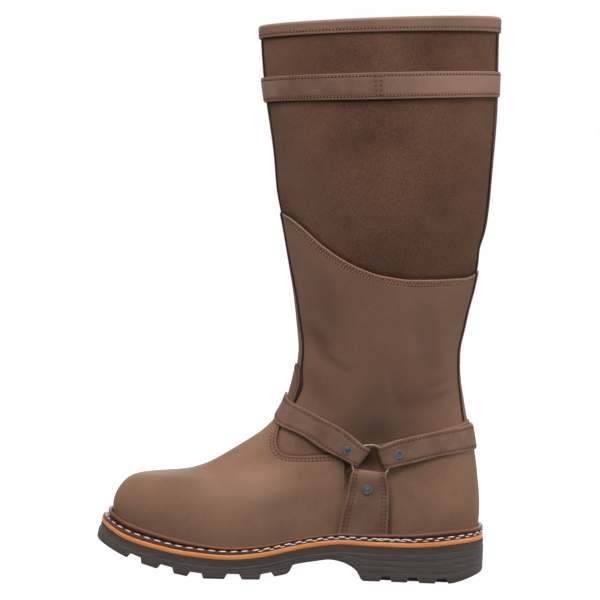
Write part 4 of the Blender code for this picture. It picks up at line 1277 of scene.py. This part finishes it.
def grown(ring, lift):
    """The columns of a plan ring, grown outwards by a lift."""
    ring = dict(ring)
    ring["front_x"] -= lift
    ring["back_x"] += lift
    for column in ("ball", "waist", "heel"):
        ring[column] += lift
    return ring


def plan_ring(ring, height):
    """Points of a plan ring, at a height that depends on x."""
    x, y, _ = plan_point(ring, around(SOLE_ROUND))
    return np.stack([x, y, height(x)], axis=-1)


def sole_ring(inset, height, shift=TOE_FLARE):
    ring = grown(SOLE_OUTLINE, -inset)
    ring["front_x"] += shift
    return plan_ring(ring, height)


def foot_ring(lift, height):
    return plan_ring(grown({key: float(value) for key, value in section(0.0).items()}, lift), height)


def stacked(ring, base, profile):
    """Rings of a board, from the inset or lift of each and its rise over a base line."""
    return np.array([ring(reach, lambda x, rise=rise: base(x) + rise) for reach, rise in profile])


# Profile of the welt: share of the way from the bead's foot out to the sole's edge, lift of the bead's part
# over the foot, share of the bead's height and height in millimetres
WELT_PROFILE = (
    (1.0, None, 0.0, 0.0), (1.0, None, 0.0, 0.9), (0.94, None, 0.04, 1.2), (0.8, None, 0.1, 1.3),
    (0.5, None, 0.16, 1.2), (0.2, None, 0.24, 1.0), (0.0, 5.2, 0.32, 0.7), (0.0, 4.7, 0.4, 0.4),
    (0.0, 4.7, 0.48, 0.2), (0.0, 5.3, 0.55, 0.1), (0.0, 5.8, 0.66, 0.0), (0.0, 5.9, 0.78, 0.0),
    (0.0, 5.5, 0.93, 0.0), (0.0, 4.7, 0.985, 0.0), (0.0, 3.8, 1.0, 0.0), (0.0, 2.8, 0.97, 0.0),
    (0.0, 2.0, 0.88, 0.0), (0.0, WELT_INNER, 0.76, 0.0), (0.0, WELT_INNER, 0.3, 0.0),
    (0.0, WELT_INNER, 0.0, 0.0),
)
# Height of the bead at which the welt has its full thickness
WELT_BEAD = 5.5
# Places of the stitches in this profile, and the x where the lower row starts
WELT_ROWS = {"upper": 4.4, "lower": 1.1}
SOLE_ROW_START = -25.0
# Where the ends of the welt thread are sewn over each other
THREAD_JOIN = {"row": 3.2, "first": 68.0, "last": 94.0}


def welt_rings():
    """Rings of the welt, one for each row of its profile."""
    rings = []
    for outward, lift, share, rise in WELT_PROFILE:
        def height(x, share=share, rise=rise):
            bead = monotone(BEAD_LINE, x)
            return feather(x) + share * bead + rise * np.clip(bead / WELT_BEAD, 0.5, 1)
        edge = sole_ring(WELT_TRIM, height)
        foot = foot_ring(WELT_OUTER - 0.4 if lift is None else lift, height)
        rings.append(outward * edge + (1 - outward) * foot)
    return np.array(rings)


def make_welt(finish):
    """Strip round the upper with a rolled bead."""
    rows = np.arange(len(WELT_PROFILE))
    # Painted shade in the groove and on the shelf, and a painted highlight on the bead
    shade = mark("welt_groove", rows) + mark("welt_shelf", rows)
    piece = loft("welt_strip", welt_rings().transpose(1, 0, 2), finish, True,
                 worn=mark("welt_bead_worn", rows), shade=shade)
    return dress(piece, ["welt"])


# Inset and rise of the midsole's section, and the gap between the insole and the lining
MIDSOLE_PROFILE = (
    (8.0, 0.1), (1.5, 0.1), (0.95, 0.5), (0.8, 1.2), (0.8, 3.0), (1.0, 3.7), (1.5, 4.1), (8.0, 4.2),
)
INSOLE_GAP = 0.6
INSOLE_ROUND = 0.5


def make_midsole(finish):
    """Board between the outsole and the welt."""
    rings = stacked(sole_ring, seat, MIDSOLE_PROFILE).transpose(1, 0, 2)
    return dress(loft("midsole_board", rings, finish, True), ["midsole"])


def make_insole(finish):
    """Board that the foot stands on."""
    lift = -(2 * SKIN + LINING + INSOLE_GAP)
    profile = ((lift, 0.1), (lift, INSOLE - INSOLE_ROUND), (lift - INSOLE_GAP, INSOLE))
    piece = loft("insole_board", stacked(foot_ring, feather, profile), finish, False)
    return dress(piece, ["insole"])


# Section of the rubber's side: inset and rise by the lug tips, shares of the height at which its lines lie,
# steps and insets of such a line, and drop, inset and share of the toe's flare by the midsole
TREAD_EDGE = ((6.0, 0.0), (0.9, 0.0), (0.35, 0.3), (0.0, 1.2))
SIDE_LINES = (0.3, 0.55, 0.78)
SIDE_LINE_STEPS = ((-0.035, 0.0), (-0.015, 0.1), (0.015, 0.1), (0.035, 0.0))
SEAT_EDGE = (
    (6.0, 0.0, 0.5), (5.6, 0.45, 0.6), (4.5, 0.45, 0.7), (4.1, 0.35, 0.8),
    (1.2, 0.35, 0.95), (0.5, 0.5, 1.0), (0.0, 1.1, 1.0), (0.0, 6.0, 1.0),
)
# The lined part of the side: its foot over the lug tips, its top under the midsole, and its top's flare
SIDE_FOOT = 1.4
SIDE_TOP = 6.2
SIDE_FLARE = 0.45
# Grooves of the tread: place along the sole, width at the lug tips and reach from the edge
GROOVES = {
    "x": (-122.0, -97.0, -73.5, -44.0, -17.5, 75.8, 97.4, 120.0),
    "width": (12.6, 14.0, 13.4, 14.2, 12.2, 9.4, 9.8, 11.0),
    "reach": (27.0, 27.0, 27.0, 27.0, 27.0, 9.0, 9.0, 9.0),
}
GROOVE_TAPER = 0.66
GROOVE_OVERRUN = 12.0
GROOVE_BELOW = 6.0
# Grooves across the middle of the tread
BAR_GROOVES = (-109.5, -85.0, -58.5, -30.5)
BAR_GROOVE_WIDTH = 8.0
BAR_GROOVE_LENGTH = 36.0
# Length over which the tread's slope is taken, and the angle that makes an edge of the rubber sharp
SLOPE_RUN = 10.0
RUBBER_SHARP = 32.0


def tread(x):
    """Height of the lug tips."""
    return monotone(TREAD_LINE, x)


def outsole_rings():
    """Rings of the rubber unit from the lug tips to the midsole, with the lines of its side."""
    def side_height(share):
        return lambda x: tread(x) + SIDE_FOOT + share * (seat(x) - SIDE_TOP - (tread(x) + SIDE_FOOT))

    levels = [(inset, 0.0, lambda x, rise=rise: tread(x) + rise) for inset, rise in TREAD_EDGE]
    for line in SIDE_LINES:
        for step, inset in SIDE_LINE_STEPS:
            share = line + step
            levels.append((inset, TOE_FLARE * SIDE_FLARE * share, side_height(share)))
    for drop, inset, flare in SEAT_EDGE:
        levels.append((inset, TOE_FLARE * flare, lambda x, drop=drop: seat(x) - drop))
    return np.array([sole_ring(inset, height, shift) for inset, shift, height in levels])


def end_strips(first, count):
    """Faces across a ring of points, as strips from one side to the other, and its two end corners."""
    i = np.arange(1, count // 2 - 1)
    strips = first + np.stack([i, i + 1, count - i - 1, count - i], axis=1)
    middle = count // 2
    corners = [[0, 1, count - 1], [middle - 1, middle, middle + 1]]
    return strips, [[first + i for i in corner] for corner in corners]


def groove_bars():
    """Tapered bars that cut the grooves, as one mesh of boxes."""
    bars = []
    for x, width, reach in zip(*GROOVES.values()):
        edge = float(half_width(SOLE_OUTLINE, (x + SOLE_LENGTH / 2) / SOLE_LENGTH))
        length = reach + GROOVE_OVERRUN
        for side in (-1, 1):
            y = float(monotone(SWING_LINE, x)) + side * (edge - reach + length / 2)
            bars.append((x, y, width, length))
    for x in BAR_GROOVES:
        bars.append((x, float(monotone(SWING_LINE, x)), BAR_GROOVE_WIDTH, BAR_GROOVE_LENGTH))
    corners = np.array([(-1, -1), (1, -1), (1, 1), (-1, 1)]) / 2
    sides = [(i, (i + 1) % 4, (i + 1) % 4 + 4, i + 4) for i in range(4)]
    box_faces = np.array([(3, 2, 1, 0), (4, 5, 6, 7)] + sides)
    points, faces = [], []
    for x, y, width, length in bars:
        low_width = width * (1 + (1 - GROOVE_TAPER) * GROOVE_BELOW / LUG_DEPTH)
        drop = float(tread(x + SLOPE_RUN / 2) - tread(x - SLOPE_RUN / 2))
        turn = np.array(Matrix.Rotation(-math.atan2(drop, SLOPE_RUN), 3, "Y"))
        box = []
        for wide, rise in ((low_width, -GROOVE_BELOW), (width * GROOVE_TAPER, LUG_DEPTH)):
            box += [(a * wide, b * length, rise) for a, b in corners]
        faces.append(8 * len(faces) + box_faces)
        points.append(np.array(box) @ turn.T + (x, y, float(tread(x))))
    return np.concatenate(points), np.concatenate(faces)


def make_outsole(finish):
    """Rubber unit with arch, heel, toe spring, lined side and lugs parted by grooves."""
    rings = outsole_rings()
    rows, count = rings.shape[:2]
    bottom, bottom_ends = end_strips(0, count)
    top, top_ends = end_strips((rows - 1) * count, count)
    faces = np.concatenate([quads(rows, count, False, True), bottom[:, ::-1], top])
    caps = [end[::-1] for end in bottom_ends] + top_ends
    block = add_piece("outsole_block", rings, faces, finish, caps)
    cutter = add_piece("groove_bars", *groove_bars(), finish)
    cut = block.modifiers.new("grooves", "BOOLEAN")
    cut.operation = "DIFFERENCE"
    cut.object = cutter
    mesh = evaluated_mesh(block)
    for old in (block, cutter):
        bpy.data.objects.remove(old)
    mesh.shade_smooth()
    mesh.set_sharp_from_angle(angle=math.radians(RUBBER_SHARP))
    points = np.empty(3 * len(mesh.vertices), np.float32)
    mesh.vertices.foreach_get("co", points)
    x, _, z = points.reshape(-1, 3).T / MM
    shade = mesh.attributes.new("shade", "FLOAT", "POINT")
    shade.data.foreach_set("value", mark("under_midsole", seat(x) - z).astype(np.float32))
    return dress(add_object("outsole_unit", mesh, finish), ["outsole"])


def evaluated_mesh(made):
    """A plain mesh of an object with its modifiers."""
    graph = bpy.context.evaluated_depsgraph_get()
    return bpy.data.meshes.new_from_object(made.evaluated_get(graph))


# Stitches

STITCH_INPUTS = {
    "Pitch": "NodeSocketFloat", "Length": "NodeSocketFloat", "Width": "NodeSocketFloat",
    "Height": "NodeSocketFloat", "Lean": "NodeSocketFloat", "Wander": "NodeSocketFloat",
    "Seed": "NodeSocketInt", "Thread": "NodeSocketMaterial",
}
STITCH_SEED = 7
# Kinds of stitches: finish, length, width and height, pitch, start as a share of the pitch, lean and wander
STITCH_COLUMNS = ("finish", "length", "width", "height", "pitch", "start", "lean", "wander")
STITCHES = {
    "tan": ("tan_thread", LEATHER_PITCH * 0.58, 1.1, 0.7, LEATHER_PITCH, 0.0, 0.3, 0.12),
    "hole_shade": ("needle_hole_shade", LEATHER_PITCH * 0.5, 1.4, 0.5, LEATHER_PITCH, 0.5, 0.0, 0.12),
    # Dark beads of painted shade in the needle holes, and of painted shadow under the binding's edge
    "foot_hole_shade": ("needle_hole_shade", LEATHER_PITCH * 0.6, 0.9, 0.4, LEATHER_PITCH, 0.0, 0.0, 0.12),
    "red": ("red_thread", HARNESS_PITCH * 0.6, 1.45, 0.7, HARNESS_PITCH, 0.0, 0.1, 0.12),
    "calf_join": ("red_thread", 2.1, 1.5, 0.8, 3.1, 0.0, 0.0, 0.12),
    "welt": ("white_thread", 6.4, 1.3, 1.1, WELT_PITCH, 0.0, 0.03, 0.05),
    "sole": ("white_thread", 4.8, 0.9, 0.7, WELT_PITCH, 0.0, -0.03, 0.06),
    "thread_join": ("white_thread", 6.4, 1.2, 1.2, 4.2, 0.0, 0.12, 0.3),
}
RED_ROWS = ("harness_stitches", "side_strap_stitches", "vamp_stitches")
CALF_ROWS = (0.12, 0.88)
SIDE_STRAP_ROWS = (1.9, 4.6)
# Step of the lines that stitches are laid along
GUIDE_STEP = 0.6
# A row of whole stitches is made this much shorter, so that the last one fits
ROW_FIT = 0.9999


def stitch_tree():
    """Geometry nodes that lay stitches along lines: one thread at each pitch, flat on the leather."""
    tree = bpy.data.node_groups.new("stitch_rows", "GeometryNodeTree")
    tree.interface.new_socket("Geometry", in_out="INPUT", socket_type="NodeSocketGeometry")
    for name, kind in STITCH_INPUTS.items():
        tree.interface.new_socket(name, in_out="INPUT", socket_type=kind)
    tree.interface.new_socket("Geometry", in_out="OUTPUT", socket_type="NodeSocketGeometry")

    def node(kind, inputs=None, output=0, **settings):
        return add_node(tree, kind, inputs, **settings).outputs[output]

    given = add_node(tree, "NodeGroupInput").outputs
    curve = node("GeometryNodeMeshToCurve", {"Mesh": given["Geometry"]})
    spaced = node("GeometryNodeResampleCurve", {"Curve": curve, "Length": given["Pitch"]}, mode="LENGTH")
    along = node("GeometryNodeInputTangent")
    normal = node("GeometryNodeInputNamedAttribute", {"Name": "skin"}, data_type="FLOAT_VECTOR")
    axes = {"Primary Axis": along, "Secondary Axis": normal}
    laid = node("FunctionNodeAxesToRotation", axes, primary_axis="X", secondary_axis="Z")
    less = node("ShaderNodeMath", {0: 0.0, 1: given["Wander"]}, operation="SUBTRACT")
    limits = {2: less, 3: given["Wander"], "Seed": given["Seed"]}
    chance = node("FunctionNodeRandomValue", limits, output=1, data_type="FLOAT")
    lean = node("ShaderNodeMath", {0: given["Lean"], 1: chance}, operation="ADD")
    turn = node("FunctionNodeEulerToRotation", {0: node("ShaderNodeCombineXYZ", {"Z": lean})})
    leaned = node("FunctionNodeRotateRotation", {0: laid, 1: turn}, rotation_space="LOCAL")
    sizes = {"X": given["Length"], "Y": given["Width"], "Z": given["Height"]}
    bead = node("GeometryNodeMeshUVSphere", {"Segments": 6, "Rings": 4, "Radius": 0.5}, output="Mesh")
    stitch = node("GeometryNodeTransform", {"Geometry": bead, "Scale": node("ShaderNodeCombineXYZ", sizes)})
    laying = {"Points": spaced, "Instance": stitch, "Rotation": leaned}
    sewn = node("GeometryNodeInstanceOnPoints", laying)
    real = node("GeometryNodeRealizeInstances", {"Geometry": sewn})
    smooth = node("GeometryNodeSetShadeSmooth", {"Geometry": real})
    dyed = node("GeometryNodeSetMaterial", {"Geometry": smooth, "Material": given["Thread"]})
    add_node(tree, "NodeGroupOutput", {"Geometry": dyed})
    return tree


def sew(tree, finishes, name, kind, rows, **changes):
    """Stitches along rows, each a line of points, its normals and whether it is a closed loop."""
    stitch = dict(zip(STITCH_COLUMNS, STITCHES[kind]), **changes)
    finish, start = finishes[stitch["finish"]], stitch["start"] * stitch["pitch"]
    points, normals, edges = [], [], []
    first = 0
    for line, normal, closed in rows:
        run = lengths(line)
        count = max(2, int(run[-1] / GUIDE_STEP))
        at = np.linspace(start, run[-1], count)
        points.append(columns_at(at, run, line))
        normals.append(columns_at(at, run, normal))
        edges += [(first + i, first + i + 1) for i in range(count - 1)]
        if closed:
            edges.append((first + count - 1, first))
        first += count
    mesh = bpy.data.meshes.new(name)
    mesh.from_pydata(np.concatenate(points) * MM, edges, [])
    skins = mesh.attributes.new("skin", "FLOAT_VECTOR", "POINT")
    skins.data.foreach_set("vector", np.concatenate(normals).astype(np.float32).ravel())
    guide = bpy.data.objects.new(name + "_line", mesh)
    bpy.context.scene.collection.objects.link(guide)
    sewing = guide.modifiers.new("stitches", "NODES")
    sewing.node_group = tree
    values = {size.title(): stitch[size] * MM for size in ("pitch", "length", "width", "height")}
    values.update({"Lean": stitch["lean"], "Wander": stitch["wander"]})
    values.update({"Seed": STITCH_SEED, "Thread": finish})
    for socket in tree.interface.items_tree:
        if socket.in_out == "INPUT" and socket.name in values:
            sewing[socket.identifier] = values[socket.name]
    made = evaluated_mesh(guide)
    bpy.data.objects.remove(guide)
    return dress(add_object(name, made, finish))


def row_on(level, angle, lift):
    """A row of stitches along a line at a height above the form."""
    return surface(level, angle, lift), skin(level, angle)[1], False


def calf_row(share):
    """A row of stitches along the calf strap, at a share of its width."""
    angles = np.linspace(0, 2 * math.pi, 700)
    return row_on(calf_strap_level(angles, share), angles, calf_strap_lift(angles) + CALF_STRAP / 2 + 0.15)


def calf_join_row(x):
    """A row of stitches across the calf strap on the inner side."""
    share = np.linspace(0.16, 0.86, 40)
    angle = np.full(40, float(locate(x, CALF_JOIN_HEIGHT)[1]))
    return row_on(calf_strap_level(angle, share), angle, calf_strap_lift(angle) + CALF_STRAP / 2 + 0.36)


def strap_row(name, inset, side, top_edge):
    """A row of stitches along an edge of a harness strap, from near its fold to its far end."""
    path = strap_path(name)
    runs, heights = path[int(np.argmin(path[:, 0])) + 4:].T
    share, run = strap_lengths(name)
    across = inset / STRAPS[name]["width"]
    across = 1 - across if top_edge else across
    level, angle = strap_place(name, np.interp(runs, run, share), across)
    return row_on(level, side * angle, heights + STRAP / 2 + strap_crown(inset) + 0.12)


def welt_row(place):
    """A closed row of stitches round the welt, at a place in its profile."""
    rings = welt_rings()
    low, share = int(place), place - int(place)
    line = rings[low] * (1 - share) + rings[low + 1] * share
    along = np.roll(line, -1, axis=0) - np.roll(line, 1, axis=0)
    normal = unit(np.cross(along, rings[low + 1] - rings[low]))
    outward = line - line.mean(axis=0)
    normal *= np.sign((normal[:, :2] * outward[:, :2]).sum(axis=1))[:, None]
    return line + 0.25 * normal, normal, True


def make_stitches(finishes):
    """All rows of stitches with dark beads of painted shade in their needle holes, the welt's thread and
    its join.
    """
    tree = stitch_tree()
    turns = np.linspace(0, 2 * math.pi, 500)
    seam = np.stack([seam_level(turns), turns], axis=1)
    vamp = even(vamp_curve(), 500)
    vamp = vamp[:int(np.argmax(form(*vamp.T)[:, 0] > VAMP_ROW_END))]
    tab = vamp[form(*vamp.T)[:, 2] < TONGUE_FOOT]
    strap_edges = [(side, top) for side in (1, -1) for top in (False, True)]
    rows = {
        "seam_stitches": [row_on(*shifted(seam, -row).T, -0.12) for row in SEAM_ROWS],
        "vamp_stitches": [row_on(*shifted(curve, -row * way).T, PANEL + PANEL_SEAT - 0.1)
                          for row, line in zip(VAMP_ROWS, (vamp, tab))
                          for way, curve in ((1, line), (-1, mirrored(line)))],
        "binding_stitches": [row_on(BINDING_LOW + BINDING_TALL * BINDING_ROW, turns,
                                    BINDING_SEAT + BINDING + 0.02)],
        "calf_strap_stitches": [calf_row(share) for share in CALF_ROWS],
        "harness_stitches": [strap_row(name, STITCH_INSET, *edge)
                             for name in ("instep", "heel") for edge in strap_edges],
        "side_strap_stitches": [strap_row("side", inset, *edge)
                                for inset in SIDE_STRAP_ROWS for edge in strap_edges],
    }
    for name, lines in rows.items():
        if name in RED_ROWS:
            sew(tree, finishes, name, "red", lines)
            continue
        sew(tree, finishes, name, "tan", lines)
        sew(tree, finishes, name.replace("stitches", "needle_hole_shades"), "hole_shade", lines)
    sew(tree, finishes, "calf_join_stitches", "calf_join", [calf_join_row(x) for x in CALF_JOIN])
    # Dark beads of painted shadow under the binding's lower edge
    foot = row_on(BINDING_LOW - 0.01, turns, BINDING_SEAT)
    sew(tree, finishes, "binding_foot_hole_shades", "foot_hole_shade", [foot])
    make_welt_thread(tree, finishes)


def make_welt_thread(tree, finishes):
    """The upper row, the lower row with its stitches between the upper ones, and the thread's join."""
    upper, lower = (welt_row(place) for place in WELT_ROWS.values())
    upper_run, lower_run = lengths(upper[0]), lengths(lower[0])
    pitch = upper_run[-1] / round(upper_run[-1] / WELT_PITCH)
    sew(tree, finishes, "welt_stitches", "welt", [upper], pitch=pitch)
    back = np.flatnonzero(lower[0][:, 0] > SOLE_ROW_START)
    inner = back[lower[0][back, 1] < 0]
    start = (0.5 - upper_run[back[0]] / pitch) % 1
    pitch = pitch * np.ptp(lower_run[inner]) / np.ptp(upper_run[inner])
    row_length = np.ptp(lower_run[back]) - start * pitch
    pitch = ROW_FIT * row_length / round(row_length / pitch)
    row = (lower[0][back], lower[1][back], False)
    sew(tree, finishes, "sole_stitches", "sole", [row], pitch=pitch, start=start)
    line, normal, _ = welt_row(THREAD_JOIN["row"])
    x, y = line[:, 0], line[:, 1]
    joined = (y < 0) & (x > THREAD_JOIN["first"]) & (x < THREAD_JOIN["last"])
    sew(tree, finishes, "thread_join", "thread_join", [(line[joined], normal[joined], False)])


# Camera, light and floor

def make_camera():
    """The photograph's camera."""
    place, aim = Vector(CAMERA), Vector(AIM)
    forward = (aim - place).normalized()
    right = forward.cross(Vector((0, 0, 1))).normalized()
    up = right.cross(forward)
    rolled_right = right * math.cos(ROLL) + up * math.sin(ROLL)
    rolled_up = up * math.cos(ROLL) - right * math.sin(ROLL)
    camera = bpy.data.objects.new("camera", bpy.data.cameras.new("camera"))
    camera.data.lens = LENS
    camera.data.sensor_width = SENSOR
    turn = Matrix((rolled_right, rolled_up, -forward)).transposed().to_4x4()
    camera.matrix_world = Matrix.Translation(place * MM) @ turn
    bpy.context.scene.collection.objects.link(camera)
    bpy.context.scene.camera = camera


# Half width of the floor in metres
FLOOR_REACH = 14.0
# Lamps: place and aim in metres, size in metres, power in watts
LAMPS = {
    "overhead": ((-0.2, -1.0, 1.95), (0.0, 0.0, 0.2), 1.5, 34.0),
    "overhead_back": ((0.3, 1.1, 1.9), (0.0, 0.0, 0.2), 1.5, 11.0),
    "left": ((-2.0, -0.6, 1.0), (0.0, 0.0, 0.36), 1.2, 13.5),
    "right": ((2.0, -0.4, 0.8), (0.0, 0.0, 0.22), 1.2, 14.0),
    "right_front": ((1.5, -1.3, 0.5), (0.0, 0.0, 0.2), 1.2, 7.5),
    "behind": ((0.2, 2.4, 0.6), (0.0, 0.0, 0.25), 1.4, 13.0),
}


def make_light():
    """White surroundings and the lamps."""
    world = bpy.data.worlds.new("studio")
    world.use_nodes = True
    background = world.node_tree.nodes["Background"]
    background.inputs["Color"].default_value = (1.0, 1.0, 1.0, 1.0)
    background.inputs["Strength"].default_value = 1.0
    world.cycles_visibility.diffuse = False
    scene = bpy.context.scene
    scene.world = world
    scene.view_settings.view_transform = "Standard"
    for name, (place, aim, size, power) in LAMPS.items():
        lamp = bpy.data.lights.new(name, "AREA")
        lamp.size = size
        lamp.energy = power
        holder = bpy.data.objects.new(name, lamp)
        holder.location = place
        holder.rotation_euler = (Vector(aim) - Vector(place)).to_track_quat("-Z", "Y").to_euler()
        scene.collection.objects.link(holder)


def make_floor():
    """White floor that lights nothing and takes a faint shadow."""
    finish = new_finish("studio_floor", Roughness=0.9, Base_Color=(0.12, 0.12, 0.12, 1.0),
                        Emission_Color=(1.0, 1.0, 1.0, 1.0), Emission_Strength=0.97)[0]
    mesh = bpy.data.meshes.new("floor")
    corners = ((-1, -1), (1, -1), (1, 1), (-1, 1))
    mesh.from_pydata([(x * FLOOR_REACH, y * FLOOR_REACH, 0) for x, y in corners], [], [(0, 1, 2, 3)])
    floor = add_object("floor", mesh, finish)
    floor.visible_diffuse = False


def main():
    """Makes the camera, the light and every piece of the boot."""
    finishes = make_finishes()
    make_camera()
    make_light()
    make_floor()
    make_lower_shaft(finishes["lower"])
    make_upper_shaft(finishes["suede"])
    make_lining(finishes["lining"])
    make_vamp(finishes["waxed"])
    make_counter(finishes["waxed"])
    make_binding(finishes["trim"])
    for place in PIPING_ANGLES:
        make_piping(place, finishes["piping"])
    make_calf_strap(finishes["strap"])
    make_strap("instep", finishes["strap"], ["strap_instep"], (1, -1), "instep_strap")
    make_strap("heel", finishes["strap"], ["strap_heel"], (1, -1), "heel_strap")
    for place, side in (("medial", 1), ("lateral", -1)):
        make_strap("side", finishes["strap"], [f"strap_side_{place}"], (side,), f"side_strap_{place}")
        make_ring(place, side, finishes["ring"])
        for name in STRAPS:
            make_rivet(name, place, side, finishes["rivet"])
    make_welt(finishes["welt"])
    make_midsole(finishes["midsole"])
    make_insole(finishes["insole"])
    make_outsole(finishes["rubber"])
    make_stitches(finishes)


main()
